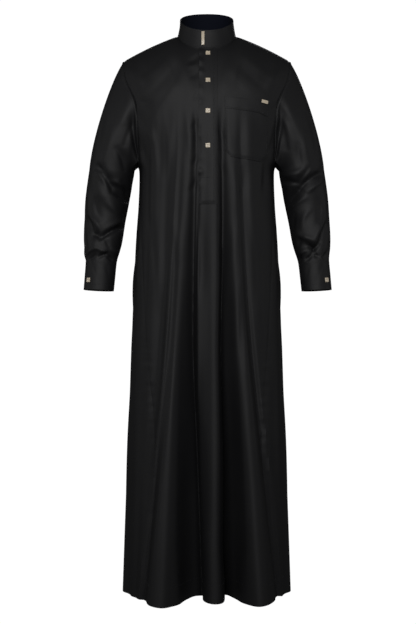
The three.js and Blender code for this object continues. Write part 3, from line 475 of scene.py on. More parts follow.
def crease_lift(rows, a, b, tail=0.12):
    """Sum of the heights of short creases; tail is the share of its height a crease ends with."""
    total = np.zeros(np.broadcast(a, b).shape)
    for from_a, from_b, to_a, to_b, lift, near, far, bow in rows:
        length = math.hypot(to_a - from_a, to_b - from_b)
        along_a = (to_a - from_a) / length
        along_b = (to_b - from_b) / length
        along = (a - from_a) * along_a + (b - from_b) * along_b
        share = np.clip(along / length, 0, 1)
        across = (b - from_b) * along_a - (a - from_a) * along_b - bow * 4 * share * (1 - share)
        flank = np.where(across < 0, near, far)
        past = along - share * length
        taper = tail + (1 - tail) * np.sin(np.pi * share)
        total += lift * taper * np.exp(-(across / flank) ** 2 - (past / near) ** 2)
    return total


# Puckers along the side seams, where the pocket openings are: height, depth, half length
SEAM_PUCKERS = [
    (-797, 0.8, 6), (-812, 1.3, 5), (-831, 0.9, 8), (-846, 1.5, 5), (-871, 1.1, 7), (-884, 0.8, 5),
    (-909, 1.6, 6), (-926, 0.9, 8), (-938, 1.2, 5), (-962, 1.4, 7), (-981, 0.8, 5), (-1003, 1.3, 8),
    (-1018, 0.9, 5), (-1041, 1.2, 7), (-1066, 0.8, 6), (-560, 0.7, 9), (-632, 0.6, 11),
    (-1139, 0.7, 10), (-1233, 0.6, 12),
]
SEAM_GROOVE = {"depth": 0.7, "width": 2.6, "pucker_width": 11, "fade": 30}


def seam_lift(points):
    """A soft groove along the side seam, pinched into puckers where the pocket is sewn in."""
    z = points[..., 2]
    away = np.abs(np.abs(points[..., 0]) - panel_reach(points[..., 0], z))
    lift = -SEAM_GROOVE["depth"] * hump(away, SEAM_GROOVE["width"])
    for height, depth, half in SEAM_PUCKERS:
        lift -= depth * hump(z - height, half) * hump(away, SEAM_GROOVE["pucker_width"])
    return lift * (1 - smooth(ARMPIT_Z - SEAM_GROOVE["fade"], ARMPIT_Z, z))


ARMHOLE_SEAM = {"depth": 1.6, "width": 3.2, "ridge": 2.2, "ridge_row": 2.6, "ridge_rows": 1.9,
                "sunk": 9, "sunk_row": 9, "sunk_rows": 6.5, "sunk_from": (-0.35, 0.6),
                "sunk_until": (0.8, 1), "ridge_loss": 0.5}


def armhole_lift(away):
    """The seam of the armhole sinks a little, by the distance of each point from it."""
    return -ARMHOLE_SEAM["depth"] * hump(away, ARMHOLE_SEAM["width"])


def armhole_ridge(rows, turns):
    """The sleeve stands up beside the seam, then sinks towards the body below the shoulder."""
    ridge = ARMHOLE_SEAM["ridge"] * hump(rows - ARMHOLE_SEAM["ridge_row"], ARMHOLE_SEAM["ridge_rows"])
    sunk = ARMHOLE_SEAM["sunk"] * hump(rows - ARMHOLE_SEAM["sunk_row"], ARMHOLE_SEAM["sunk_rows"])
    down = -np.cos(turns)
    below_shoulder = (smooth(*ARMHOLE_SEAM["sunk_from"], down)
                      * (1 - smooth(*ARMHOLE_SEAM["sunk_until"], down)))
    return ridge * (1 - ARMHOLE_SEAM["ridge_loss"] * below_shoulder) - sunk * below_shoulder


# Depth over which front and back take their folds, heights where folds begin, and the side's share
FOLD_FADE = 40
FOLD_START = (-300, -170)
SIDE_SHARE = (0.7, 0.97)
CHEST_STRENGTH = 1.5
ARMHOLE_STRENGTH = 0.8


def body_lift(points):
    """How far all the folds and creases lift the cloth of the body at points of its plain form."""
    x, y, z = points[..., 0], points[..., 1], points[..., 2]
    at_front = smooth(0, FOLD_FADE, -y)
    at_back = smooth(0, FOLD_FADE, y)
    low = 1 - smooth(*FOLD_START, z)
    at_side = low * smooth(*SIDE_SHARE, np.abs(x) / from_table(BODY_SECTIONS, WIDTH, z))
    lift = at_front * low * fold_lift(FRONT_FOLDS + FRONT_RIPPLES, x, z)
    lift += at_front * CHEST_STRENGTH * crease_lift(CHEST_CREASES, x, z)
    lift += at_front * ARMHOLE_STRENGTH * crease_lift(ARMHOLE_CREASES, x, z)
    lift += at_back * low * fold_lift(BACK_FOLDS + BACK_RIPPLES, x, z)
    lift += at_back * crease_lift(BACK_CREASES, x, z)
    lift += at_side * fold_lift(SIDE_FOLDS, y, z)
    lift += at_side * crease_lift(SIDE_CREASES, y, z)
    return lift + seam_lift(points)


print("short creases on the chest and front:", len(CHEST_CREASES) + len(ARMHOLE_CREASES))

# %% [markdown]
# A cloth piece starts as a grid of points with an outward direction at each. Where two pieces meet,
# their edge points are the same, and they take one shared direction, so the shading runs over the
# seam without a step. The grid then becomes a closed wall: the outer skin, an inner skin one cloth
# thickness further in, and strips that join the two along the edges. A Solidify modifier does much
# the same, but it can't make the turned-up hem thicker than the rest in the same sheet.

# %% Grids and walls
CLOTH = 1.5
HEM_CLOTH = 2.8
CUFF_CLOTH = 2.4
BAND_CLOTH = 1.6
FACING_CLOTH = 1.0


def unit(vectors):
    return vectors / np.maximum(np.linalg.norm(vectors, axis=-1, keepdims=True), 1e-9)


def grid_normals(grid):
    """Outward directions: the way across the grid crossed with the way up it."""
    points = grid["points"]
    if grid["around"]:
        across = np.roll(points, -1, 1) - np.roll(points, 1, 1)
    else:
        across = np.gradient(points, axis=1)
    up = np.gradient(points, axis=0)
    grid["normals"] = unit(np.cross(across, up))
    return grid


def make_grid(points, around=False):
    return grid_normals({"points": np.asarray(points, float), "around": around})


def edge_indices(grid):
    rows, columns = grid["points"].shape[:2]
    chosen = np.zeros((rows, columns), bool)
    chosen[[0, -1], :] = True
    if not grid["around"]:
        chosen[:, [0, -1]] = True
    return np.argwhere(chosen)


def share_edge_normals(grids, within=0.5):
    """Edge points of different grids that lie together take the same direction."""
    places = [edge_indices(grid) for grid in grids]
    points = np.concatenate([grid["points"][i[:, 0], i[:, 1]] for grid, i in zip(grids, places)])
    normals = np.concatenate([grid["normals"][i[:, 0], i[:, 1]] for grid, i in zip(grids, places)])
    tree = kdtree.KDTree(len(points))
    for index, point in enumerate(points):
        tree.insert(point, index)
    tree.balance()
    shared = normals.copy()
    for index, point in enumerate(points):
        near = [found[1] for found in tree.find_range(point, within)]
        total = normals[near].sum(0)
        if np.linalg.norm(total) > 0.2:
            shared[index] = total / np.linalg.norm(total)
    start = 0
    for grid, i in zip(grids, places):
        grid["normals"][i[:, 0], i[:, 1]] = shared[start:start + len(i)]
        start += len(i)


def lift_grid(grid, lift):
    grid["points"] = grid["points"] + grid["normals"] * lift[..., None]


def grid_uv(grid):
    """Lengths along the cloth in metres, for the weave: across from the middle, and up."""
    points = grid["points"] * MM
    across = np.linalg.norm(np.diff(points, axis=1), axis=-1)
    up = np.linalg.norm(np.diff(points, axis=0), axis=-1)
    u = np.concatenate([np.zeros((len(points), 1)), np.cumsum(across, 1)], 1)
    v = np.concatenate([np.zeros((1, points.shape[1])), np.cumsum(up, 0)], 0)
    return np.stack([u - u[:, -1:] / 2, v], -1)


def strip(first, second):
    """Faces that join two rows of points."""
    return np.stack([first[:-1], first[1:], second[1:], second[:-1]], -1)


def smooth_mesh(name, vertices, faces):
    """A mesh with smooth faces, from points in millimetres and the corners of each face."""
    mesh = bpy.data.meshes.new(name)
    mesh.from_pydata((np.asarray(vertices) * MM).tolist(), [], faces)
    mesh.polygons.foreach_set("use_smooth", [True] * len(faces))
    mesh.update()
    return mesh


def wall_mesh(name, grid, thickness):
    """A closed mesh from a grid: its outer skin, its inner skin and the strips round its edges."""
    points = grid["points"]
    rows, columns = points.shape[:2]
    thick = np.broadcast_to(np.asarray(thickness, float), (rows, columns))
    inner_points = points - grid["normals"] * thick[..., None]
    index = np.arange(rows * columns).reshape(rows, columns)
    if grid["around"]:
        index = np.concatenate([index, index[:, :1]], 1)
    skin = rows * columns
    a, b, c, d = index[:-1, :-1], index[:-1, 1:], index[1:, 1:], index[1:, :-1]
    faces = [np.stack([a, b, c, d], -1).reshape(-1, 4), np.stack([a, d, c, b], -1).reshape(-1, 4) + skin,
             strip(index[0] + skin, index[0]), strip(index[-1], index[-1] + skin)]
    if not grid["around"]:
        first, last = index[:, 0], index[:, -1]
        faces += [strip(first, first + skin), strip(last + skin, last)]
    faces = np.concatenate(faces)
    mesh = smooth_mesh(name, np.concatenate([points.reshape(-1, 3), inner_points.reshape(-1, 3)]),
                       faces.tolist())
    uv = np.tile(grid_uv(grid).reshape(-1, 2), (2, 1))[faces.reshape(-1)]
    mesh.uv_layers.new(name="cloth").data.foreach_set("uv", uv.astype(np.float32).reshape(-1))
    return mesh


# Every visible piece by its name, and the grid of every cloth piece
made = {}
grids = {}
EDGE_ANGLE = 50


def add_object(name, mesh):
    piece = bpy.data.objects.new(name, mesh)
    bpy.context.scene.collection.objects.link(piece)
    made[name] = piece
    return piece


def add_wall(name, grid, thickness):
    """Makes the wall, keeps its cut edges crisp and its skins smooth."""
    mesh = wall_mesh(name, grid, thickness)
    mesh.set_sharp_from_angle(angle=math.radians(EDGE_ANGLE))
    grids[name] = grid
    add_object(name, mesh)


print("walls ready")

# %% [markdown]
# The four pieces of the body share their seams. They could be drawn one by one and stitched with a
# merge, but then a crease could stop dead at a seam. Here the plain forms are drawn first, their
# edges take shared directions, and the folds lift the points along those. The lift depends only on
# the place of the point, so both sides of a seam move together and never part.

# %% The body: front, back and two side panels
SOFTEN = {"rounds": 70, "top_rows": 12, "neck": (-250, -180), "armpit_low": (-480, -400),
          "armpit_high": (-260, -200), "inside": (0.76, 0.96)}


def soften(points, column):
    """Spread the corner at the end of the neck seam, and the widening at the armpit; edges stay."""
    below_top = smooth(0, SOFTEN["top_rows"], np.arange(len(points))[::-1])
    neck_share = (below_top * smooth(*SOFTEN["neck"], PANEL_HEIGHTS))[:, None, None]
    band = smooth(*SOFTEN["armpit_low"], PANEL_HEIGHTS) * (1 - smooth(*SOFTEN["armpit_high"], PANEL_HEIGHTS))
    inside = 1 - smooth(*SOFTEN["inside"], np.abs(column))
    armpit_share = (band[:, None] * inside)[1:-1, :, None]
    for _ in range(SOFTEN["rounds"]):
        middle = 0.5 * points[:, 1:-1] + 0.25 * (points[:, :-2] + points[:, 2:])
        points[:, 1:-1] += neck_share * (middle - points[:, 1:-1])
        level = 0.5 * points[1:-1] + 0.25 * (points[:-2] + points[2:])
        points[1:-1] += armpit_share * (level - points[1:-1])
    return points


def panel_grid(face):
    columns = COLUMNS if face < 0 else COLUMNS[::-1]
    column, edge_z = np.meshgrid(columns, PANEL_HEIGHTS)
    return make_grid(soften(panel_points(face, column, edge_z), column))


def side_grid(side):
    share, z = np.meshgrid(np.linspace(0, 1, SIDE_COLUMNS + 1), SKIRT_HEIGHTS)
    points = side_points(side, share, z)
    return make_grid(points if side > 0 else points[:, ::-1])


front = panel_grid(-1)
back = panel_grid(1)
side_right = side_grid(-1)
side_left = side_grid(1)
BODY_GRIDS = [front, back, side_right, side_left]
share_edge_normals(BODY_GRIDS)
for grid in BODY_GRIDS:
    lift_grid(grid, body_lift(grid["points"]))
# The armhole runs beside the outer columns, narrower below the end of the shoulder seam
ARMHOLE_REACH = 180
ARMHOLE_TOP_Z = SHOULDER["z"] - 30
column, edge_z = np.meshgrid(COLUMNS, PANEL_HEIGHTS)
to_edge = (1 - np.abs(column)) * np.where(edge_z > ARMHOLE_TOP_Z, SHOULDER["x"], ARMHOLE_REACH)
for grid in (front, back):
    lift_grid(grid, armhole_lift(np.hypot(to_edge, np.maximum(ARMPIT_Z - edge_z, 0))))
for grid in (side_right, side_left):
    lift_grid(grid, armhole_lift(ARMPIT_Z - grid["points"][..., 2]))
print("body pieces:", [grid["points"].shape[:2] for grid in BODY_GRIDS])

# %% [markdown]
# A sleeve leaves the armhole in a round cap and then runs down the arm in rings. A bent tube cut by
# the body would meet it in a ragged line. So the first ring is the armhole itself: down the front
# edge of the body, under the arm along the side panel and up the back. From there every thread of
# the sleeve curves over to its place on the arm, the outer ones over the shoulder, the inner ones
# straight down.

# %% Tables of the sleeve creases
# fromTurn, fromZ, toTurn, toZ, lift, near flank, far flank, bow; turn 0 is outside, 90 in front
LARGE_CREASES = {
    -1: [
        (50, -120, 130, -290, -5, 14, 14, 0), (40, -339, 75, -372, -6, 13, 13, 0),
        (75, -372, 158, -431, -8, 14, 14, 0), (60, -400, 130, -455, 5, 16, 16, 0),
        (20, -474, 62, -520, -6, 14, 14, 0), (62, -524, 150, -497, -7, 14, 14, 0),
        (200, -380, 300, -430, -6, 15, 15, 0), (220, -480, 320, -520, -5, 15, 15, 0),
    ],
    1: [
        (50, -120, 130, -290, -5, 14, 14, 0), (40, -362, 98, -398, -6, 13, 13, 0),
        (98, -398, 155, -455, -8, 14, 14, 0), (80, -352, 140, -388, 5, 14, 14, 0),
        (30, -492, 72, -552, -6, 14, 14, 0), (80, -560, 130, -545, -5, 13, 13, 0),
        (200, -400, 300, -440, -6, 15, 15, 0), (230, -500, 320, -530, -5, 15, 15, 0),
    ],
}
SMALL_CREASES = {
    -1: [
        # elbow and the dark pocket beside the body
        (51, -339, 75, -368, -3.6, 6, 12, 0), (75, -368, 104, -409, -3.8, 6, 12, 2),
        (104, -409, 172, -432, -3.6, 6, 14, -4), (48, -356, 92, -398, 3.4, 8, 12, 4),
        (96, -384, 148, -402, 3, 8, 10, 3), (127, -386, 172, -427, -4.5, 9, 10, 0),
        # the long bowed fold of the forearm
        (40, -476, 61, -519, -3.4, 6, 10, 0), (61, -519, 86, -532, -3.8, 6, 10, 3),
        (86, -532, 120, -512, -4.2, 6, 10, 0), (120, -512, 174, -498, -3.6, 6, 12, 0),
        (48, -470, 86, -514, 3.4, 9, 10, 4), (86, -514, 150, -486, 3.2, 9, 12, 0),
        # cloth gathered above the cuff
        (23, -578, 78, -556, 3, 6, 9, 4), (78, -556, 116, -566, 2.8, 6, 8, -2),
        (40, -588, 74, -574, -3, 5, 7, 0), (83, -579, 117, -568, -3.4, 5, 7, 0),
        (110, -573, 148, -590, -3.4, 5, 7, 0), (128, -560, 170, -572, 2.4, 6, 8, 0),
        (2, -560, 20, -584, 2, 7, 8, 0), (340, -556, 352, -586, -2.4, 6, 8, 0),
        # upper arm
        (60, -150, 84, -235, 2, 10, 14, 4), (84, -180, 112, -290, -2.4, 8, 14, 5),
        (110, -250, 140, -330, 2.4, 9, 13, -4), (30, -200, 52, -300, -1.6, 9, 15, -4),
        (66, -250, 70, -330, 1.6, 10, 14, 5), (95, -300, 128, -352, -2.6, 8, 12, 4),
        # forearm
        (30, -400, 40, -470, 1.6, 10, 14, 4), (62, -430, 84, -480, -2, 8, 13, -4),
        (96, -440, 132, -470, 2, 9, 12, 0), (150, -444, 168, -486, -2, 9, 12, 0),
        (20, -500, 34, -560, -1.8, 8, 12, 0), (66, -536, 72, -562, 1.8, 8, 10, 0),
        (100, -530, 118, -552, -2, 7, 10, 0),
        # behind the arm
        (196, -330, 250, -372, 2.2, 9, 13, 4), (240, -352, 310, -386, -2.6, 8, 13, 4),
        (204, -452, 262, -474, 2.4, 9, 12, 0), (262, -474, 330, -452, -2.4, 8, 12, -4),
        (216, -536, 276, -556, -2.6, 7, 11, 3), (290, -560, 340, -582, 2.2, 7, 9, 0),
        (200, -572, 240, -588, -2.8, 6, 8, 0), (250, -570, 286, -590, 2.4, 6, 8, 0),
        (230, -180, 252, -300, 1.8, 10, 14, 4), (280, -150, 300, -280, -1.8, 10, 14, -4),
    ],
    1: [
        (33, -360, 72, -375, -3.4, 6, 12, 0), (72, -375, 110, -406, -3.8, 6, 12, 2),
        (110, -406, 174, -450, -4, 6, 13, 0), (40, -376, 90, -410, 3.4, 8, 12, 0),
        (96, -424, 150, -452, 3, 9, 12, 0), (76, -350, 110, -388, -3.4, 6, 10, 0),
        (110, -389, 152, -385, -3.4, 6, 10, 3), (104, -362, 150, -366, 2.8, 8, 10, 0),
        (40, -491, 66, -540, -3.6, 6, 10, 0), (66, -540, 86, -559, -3.8, 6, 10, 0),
        (86, -559, 112, -549, -3.6, 6, 9, 0), (50, -486, 84, -538, 3.2, 9, 11, 3),
        (84, -538, 140, -520, 2.8, 9, 12, 0), (80, -552, 104, -572, -3.2, 5, 7, 0),
        (104, -550, 82, -572, -3, 5, 7, 0), (126, -586, 98, -573, -3.2, 5, 7, 0),
        (98, -573, 72, -576, -3, 5, 7, 0), (60, -584, 40, -566, -2.6, 5, 8, 0),
        (112, -560, 160, -574, 2.6, 6, 8, 0), (140, -574, 166, -590, -2.6, 6, 8, 0),
        (20, -556, 34, -586, 2, 7, 9, 0), (338, -560, 350, -588, -2.2, 6, 8, 0),
        (56, -140, 78, -220, 2, 10, 14, 4), (78, -190, 118, -300, -2.4, 8, 14, 5),
        (116, -240, 146, -320, 2.4, 9, 13, -4), (34, -210, 48, -320, -1.6, 9, 15, -4),
        (62, -260, 76, -336, 1.8, 10, 14, 5), (88, -290, 96, -344, -2.2, 8, 12, 3),
        (34, -414, 38, -480, 1.6, 10, 14, 4), (60, -430, 66, -486, -2, 8, 13, -4),
        (90, -456, 118, -500, 2.2, 9, 12, 4), (134, -470, 164, -520, -2.2, 9, 12, 0),
        (14, -520, 24, -566, -1.8, 8, 12, 0), (120, -524, 150, -552, -2, 8, 11, 0),
        (198, -340, 262, -364, 2.2, 9, 13, 4), (236, -356, 306, -398, -2.6, 8, 13, 4),
        (206, -462, 270, -468, 2.4, 9, 12, 0), (254, -486, 324, -470, -2.4, 8, 12, -4),
        (222, -544, 280, -562, -2.6, 7, 11, 3), (296, -564, 336, -584, 2.2, 7, 9, 0),
        (206, -574, 236, -588, -2.8, 6, 8, 0), (252, -572, 292, -588, 2.4, 6, 8, 0),
        (226, -190, 256, -310, 1.8, 10, 14, 4), (284, -160, 296, -270, -1.8, 10, 14, -4),
    ],
}
ARM_RADIUS = 58
CAP_ROWS = 66
ARM_ROWS = 84
SLEEVE_TAIL = 0.4
SMALL_STRENGTH = 1.5
SMALL_WIDTH = 0.8
# How far creases keep clear of the armhole, in rows, and where they begin above the cuff
LARGE_CLEAR = (CAP_ROWS / 3, 0, 34)
SMALL_CLEAR = (CAP_ROWS / 9, -1, 9)


def arm_section(side, z):
    drift = LEFT_CUFF_DRIFT * smooth(-DRIFT_START_Z, -CUFF_BOTTOM_Z, -z) if side > 0 else 0
    middle = np.stack([side * (from_table(ARM_SECTIONS, 1, z) + drift), from_table(ARM_SECTIONS, 2, z),
                       z + 0 * drift], -1)
    return middle, from_table(ARM_SECTIONS, 3, z), from_table(ARM_SECTIONS, 4, z)


def square_to(way, direction):
    """A fixed direction, turned until it is square to the way down the arm."""
    direction = np.array(direction, float)
    return unit(direction - way * (way @ direction)[..., None])


def arm_points(side, z, turn):
    """Points around the arm and the way down it; z and turn are arrays of one shape."""
    reach = 4
    middle, across, deep = arm_section(side, z)
    down = unit(arm_section(side, z - reach)[0] - arm_section(side, z + reach)[0])
    points = (middle + square_to(down, (side, 0, 0)) * (across * np.cos(turn))[..., None]
              + square_to(down, (0, -1, 0)) * (deep * np.sin(turn))[..., None])
    return points, down


# %% The sleeves
def armhole_loop(side, under):
    """The armhole from the shoulder down the front, under the arm and up the back."""
    above = len(PANEL_HEIGHTS) - len(SKIRT_HEIGHTS)
    front_column = -1 if side > 0 else 0
    front_edge = front["points"][::-1][:above, front_column]
    back_edge = back["points"][-above:-1, -1 - front_column]
    return np.concatenate([front_edge, under["points"][-1, ::side], back_edge])


def loop_turns(loop):
    """The turn round the arm of each point of the armhole, half a turn down and half a turn up."""
    steps = np.linalg.norm(np.roll(loop, -1, 0) - loop, axis=1)
    low = np.where(loop[:, 2] < ARMPIT_Z + 20, np.abs(loop[:, 1]), 1e9)
    lowest = int(np.argmin(low))
    before = np.concatenate([[0], np.cumsum(steps)])[:-1]
    down = before[lowest]
    up = steps.sum() - down
    at_front = np.arange(len(loop)) <= lowest
    return np.where(at_front, np.pi * before / down, np.pi + np.pi * (before - down) / up)


def sleeve_crease_lift(rows, turns, z, width=1.0):
    """Creases whose rows give turns in degrees, which become lengths round the arm."""
    arc = math.radians(1) * ARM_RADIUS
    scaled = np.array(rows) * (arc, 1, arc, 1, 1, width, width, 1)
    degrees = np.degrees(turns)
    return sum(crease_lift(scaled, (degrees - back) * arc, z, SLEEVE_TAIL) for back in (0, 360))


def clear_of_ends(clear, rows, heights):
    """0 at the armhole and at the cuff, 1 between them."""
    cap_rows, low, high = clear
    return smooth(0, cap_rows, rows) * smooth(CUFF_TOP_Z + low, CUFF_TOP_Z + high, heights)


def sleeve_grid(side, under):
    loop = armhole_loop(side, under)
    turns = loop_turns(loop)
    end, down = arm_points(side, np.full(len(turns), float(ARM_TOP_Z)), turns)
    over = ((1 + np.cos(turns)) / 2) ** 2
    beneath = ((1 - np.cos(turns)) / 2) ** 2
    shares = {"over": over, "middle": 1 - over - beneath, "under": beneath}
    leave = sum(share[:, None] * np.array(CAP_LEAVES[name]) for name, share in shares.items())
    leave = leave * np.stack([np.full(len(turns), side), -np.sin(turns), np.ones(len(turns))], 1)
    arrive = down * np.linalg.norm(end - loop, axis=1)[:, None]
    t = np.linspace(0, 1, CAP_ROWS + 1)[:, None, None]
    cap = bridge(loop, leave, end, arrive, t)
    z, turn = np.meshgrid(np.linspace(ARM_TOP_Z, CUFF_TOP_Z, ARM_ROWS + 1)[1:], turns, indexing="ij")
    arm, _ = arm_points(side, z, turn)
    points = np.concatenate([cap, arm])[::-1]
    if side > 0:
        points = points[:, ::-1]
        turns = turns[::-1]
    grid = make_grid(points, around=True)
    heights = grid["points"][..., 2]
    rows = np.arange(len(points))[::-1, None]
    all_turns = np.broadcast_to(turns, heights.shape)
    large = sleeve_crease_lift(LARGE_CREASES[side], all_turns, heights)
    small = sleeve_crease_lift(SMALL_CREASES[side], all_turns, heights, SMALL_WIDTH)
    lift_grid(grid, clear_of_ends(LARGE_CLEAR, rows, heights) * large
              + SMALL_STRENGTH * clear_of_ends(SMALL_CLEAR, rows, heights) * small
              + armhole_ridge(rows, all_turns))
    grid["turns"] = turns
    return grid


sleeve_right = sleeve_grid(-1, side_right)
sleeve_left = sleeve_grid(1, side_left)
print("sleeves", sleeve_right["points"].shape[:2])

# %% [markdown]
# The cuff is a stiff doubled strip round the wrist, with a slit beside its button. A short cylinder
# would do from afar, but it has to meet each thread of the sleeve. So it goes on along the same
# rings with the same columns, and only a few soft dents mark it.

# %% The cuffs
CUFF_ROWS = 26
CUFF_SLIT_TURN = 14
CUFF_SLIT_GAP = 0.6
CUFF_LEAST_STEP = 0.005
# Small dents of the cuffs: fromTurn, fromZ, toTurn, toZ, lift, near flank, far flank, bow
CUFF_CREASES = [
    (60, -600, 76, -618, -0.9, 6, 9, 0), (110, -598, 128, -626, -1, 7, 10, 2),
    (150, -606, 164, -640, 0.9, 8, 10, 0), (88, -630, 102, -656, -0.6, 7, 9, 0),
    (200, -600, 226, -622, -1, 7, 10, 2), (262, -604, 284, -634, 0.9, 8, 10, -2),
    (310, -598, 326, -612, -0.8, 6, 9, 0),
]


def cuff_grid(side, sleeve):
    slit = math.radians(CUFF_SLIT_TURN)
    half = CUFF_SLIT_GAP / 2 / float(arm_section(side, np.float64(CUFF_TOP_Z))[1])
    turns = np.sort(sleeve["turns"])
    turns = np.concatenate([[slit + half], turns[turns > slit + half + CUFF_LEAST_STEP],
                            turns[turns < slit - half - CUFF_LEAST_STEP] + 2 * np.pi,
                            [slit - half + 2 * np.pi]])
    z, turn = np.meshgrid(np.linspace(CUFF_BOTTOM_Z, CUFF_TOP_Z, CUFF_ROWS + 1), turns, indexing="ij")
    points, _ = arm_points(side, z, turn)
    if side > 0:
        points, turn = points[:, ::-1], turn[:, ::-1]
    grid = make_grid(points)
    heights = grid["points"][..., 2]
    inside = smooth(0, 8, CUFF_TOP_Z - heights)
    lift_grid(grid, inside * sleeve_crease_lift(CUFF_CREASES, turn, heights))
    return grid


cuff_right = cuff_grid(-1, sleeve_right)
cuff_left = cuff_grid(1, sleeve_left)
print("cuffs", cuff_right["points"].shape[:2])

# %% [markdown]
# The hem does not hang level. The big lobes hang a little lower, and the ridges lean over the valleys
# beside them, so from in front the valleys close to thin dark lines. New folds could be drawn for it,
# but moving the points down and sideways by a few millimetres is enough. The hem itself is turned up
# and sewn, so the wall is thicker there.

# %% Sag and lean of the hem
# place across, drop or push, width
HEM_SAGS = [(-106, 8, 50), (-30, -3, 16), (20, 2, 18), (54, -3, 12), (122, 6, 44), (182, -3, 10)]
HEM_LEANS = [(34, 9, 13), (-74, 5, 12), (92, -4, 12)]
BACK_HEM_SAGS = [(-146, 3, 22), (-96, -3, 16), (-50, 4, 22), (2, -3, 18), (50, 3, 20), (142, 4, 24)]
HEM_SAG_HEIGHT = 170
HEM_FADE = 30
# places at the five fold levels, pushes there, width
FOLD_LEANS = [
    ((-30, -40, -49, -42, -24), (15, 13, 10, 7, 0), 17),
    ((-2, -6, -10, -14, -10), (-6, -7, -6, -5, 0), 12),
    ((58, 58, 46, 47, 40), (-14, -13, -9, -6, 0), 16),
    ((36, 38, 33, 33, 30), (3, 6, 5, 4, 0), 10),
]


def settle_hem(grid, sags, leans, chosen=True):
    """Lowers and pushes the chosen points above the hem, less and less upwards."""
    points = grid["points"]
    x = points[..., 0].copy()
    low = 1 - smooth(HEM_Z, HEM_Z + HEM_SAG_HEIGHT, points[..., 2])
    share = chosen * low * smooth(0, HEM_FADE, np.abs(points[..., 1]))
    for place, drop, width in sags:
        points[..., 2] -= share * drop * hump(x - place, width)
    for place, push, width in leans:
        points[..., 0] += share * push * hump(x - place, width)


def lean_folds(grid):
    """Pushes each ridge over the valley beside it."""
    x, z = grid["points"][..., 0].copy(), grid["points"][..., 2]
    for places, pushes, width in FOLD_LEANS:
        grid["points"][..., 0] += at_levels(pushes, z) * hump(x - at_levels(places, z), width)


lean_folds(front)
settle_hem(front, HEM_SAGS, HEM_LEANS)
settle_hem(back, BACK_HEM_SAGS, [])
for grid in (side_right, side_left):
    in_front = grid["points"][..., 1] < 0
    settle_hem(grid, HEM_SAGS, HEM_LEANS, in_front)
    settle_hem(grid, BACK_HEM_SAGS, [], ~in_front)

CLOTH_GRIDS = BODY_GRIDS + [sleeve_right, sleeve_left, cuff_right, cuff_left]
for grid in CLOTH_GRIDS:
    grid_normals(grid)
share_edge_normals(CLOTH_GRIDS)

hem_rows = (front["points"][:, 0, 2] < HEM_Z + HEM_DEPTH - 2)[:, None]
hemmed = np.where(hem_rows, HEM_CLOTH, CLOTH)
CLOTH_NAMES = ["front", "back", "side_right", "side_left", "sleeve_right", "sleeve_left",
               "cuff_right", "cuff_left"]
THICKNESSES = [hemmed] * 2 + [hemmed[:len(SKIRT_HEIGHTS)]] * 2 + [CLOTH] * 2 + [CUFF_CLOTH] * 2
for name, grid, thickness in zip(CLOTH_NAMES, CLOTH_GRIDS, THICKNESSES):
    add_wall(name, grid, thickness)
    print(name, len(made[name].data.polygons), "faces")

# %% [markdown]
# The band collar is a stiff strip that stands on the neck seam, and its two ends meet at the front.
# It could be a lofted ring, but then its ends could not meet in a real slit, so it is a grid like
# the other cloth. A navy facing lines it and peeps over the rim by a millimetre, which makes the
# thin dark line along the top.

# %% Collar band and facing
COLLAR_ROWS = 14
COLLAR_SLIT_X = -9.4
COLLAR_SLIT_GAP = 0.6
QUARTER_COLUMNS = 25
FACING_RISE = 1.0
COLLAR_SHAPE = {"belly": -0.9, "roll": 0.5, "dents": 0.5, "small_dents": 0.35, "slit_turn": 0.25}


def ring_points(ring, turn):
    x = ring["half_width"] * np.cos(turn)
    y = ring["middle_y"] + ring["half_depth"] * np.sin(turn)
    return np.stack([x, y, oval_height(ring, np.sin(turn))], -1)


def front_turn(ring, x):
    """Where on the front half of a ring its width is x."""
    return -np.arccos(np.clip(x / ring["half_width"], -1, 1))


def collar_turns():
    slit = float(front_turn(NECK, COLLAR_SLIT_X))
    half = COLLAR_SLIT_GAP / 2 / NECK["half_width"]
    step = math.pi / 2 / QUARTER_COLUMNS
    first = math.ceil((slit + half) / step + 0.2)
    turns = step * np.arange(first, first + 4 * QUARTER_COLUMNS + 1)
    turns = turns[turns < slit - half + 2 * math.pi - 0.01]
    return np.concatenate([[slit + half], turns, [slit - half + 2 * math.pi]])


def collar_grid():
    turns = collar_turns()
    share = np.linspace(0, 1, COLLAR_ROWS + 1)[:, None, None]
    points = ring_points(NECK, turns) * (1 - share) + ring_points(RIM, turns) * share
    grid = make_grid(points)
    # a slight hollow between the two edges, a roll at the rim and a few soft dents
    up = share[..., 0]
    around = turns[None, :]
    belly = COLLAR_SHAPE["belly"] * np.sin(np.pi * up) + COLLAR_SHAPE["roll"] * smooth(0.86, 1, up)
    dents = (COLLAR_SHAPE["dents"] * np.sin(3 * around + 0.6) * np.sin(np.pi * up)
             + COLLAR_SHAPE["small_dents"] * np.sin(7 * around + 2) * up * (1 - up))
    from_slit = np.minimum(around - turns[0], turns[-1] - around)
    at_slit = smooth(0, COLLAR_SHAPE["slit_turn"], from_slit)
    lift_grid(grid, (belly + dents * at_slit) * np.ones_like(around))
    return grid_normals(grid)


def moved_grid(grid, distance, rise=0.0):
    points = grid["points"] + grid["normals"] * distance
    points[-1] += unit(grid["points"][-1] - grid["points"][-2]) * rise
    return make_grid(points, grid["around"])


collar = collar_grid()
facing = moved_grid(collar, -BAND_CLOTH, FACING_RISE)
add_wall("collar_band", collar, BAND_CLOTH)
add_wall("collar_facing", facing, FACING_CLOTH)
print("collar", collar["points"].shape[:2])

# %% [markdown]
# A small hard bar of cream enamel covers the join of the collar. It could be cut from the band and
# pushed out, but hard trim has rounded edges that cloth has not. It is a cube with bevelled edges,
# drawn flat and then put on its place. The pocket's tag is made in the same way further down.

# %% Collar bar
BAR = {"width": 7.6, "from_share": 0.14, "to_share": 0.93, "thick": 1.8, "bevel": 0.6, "stands": 0.25}


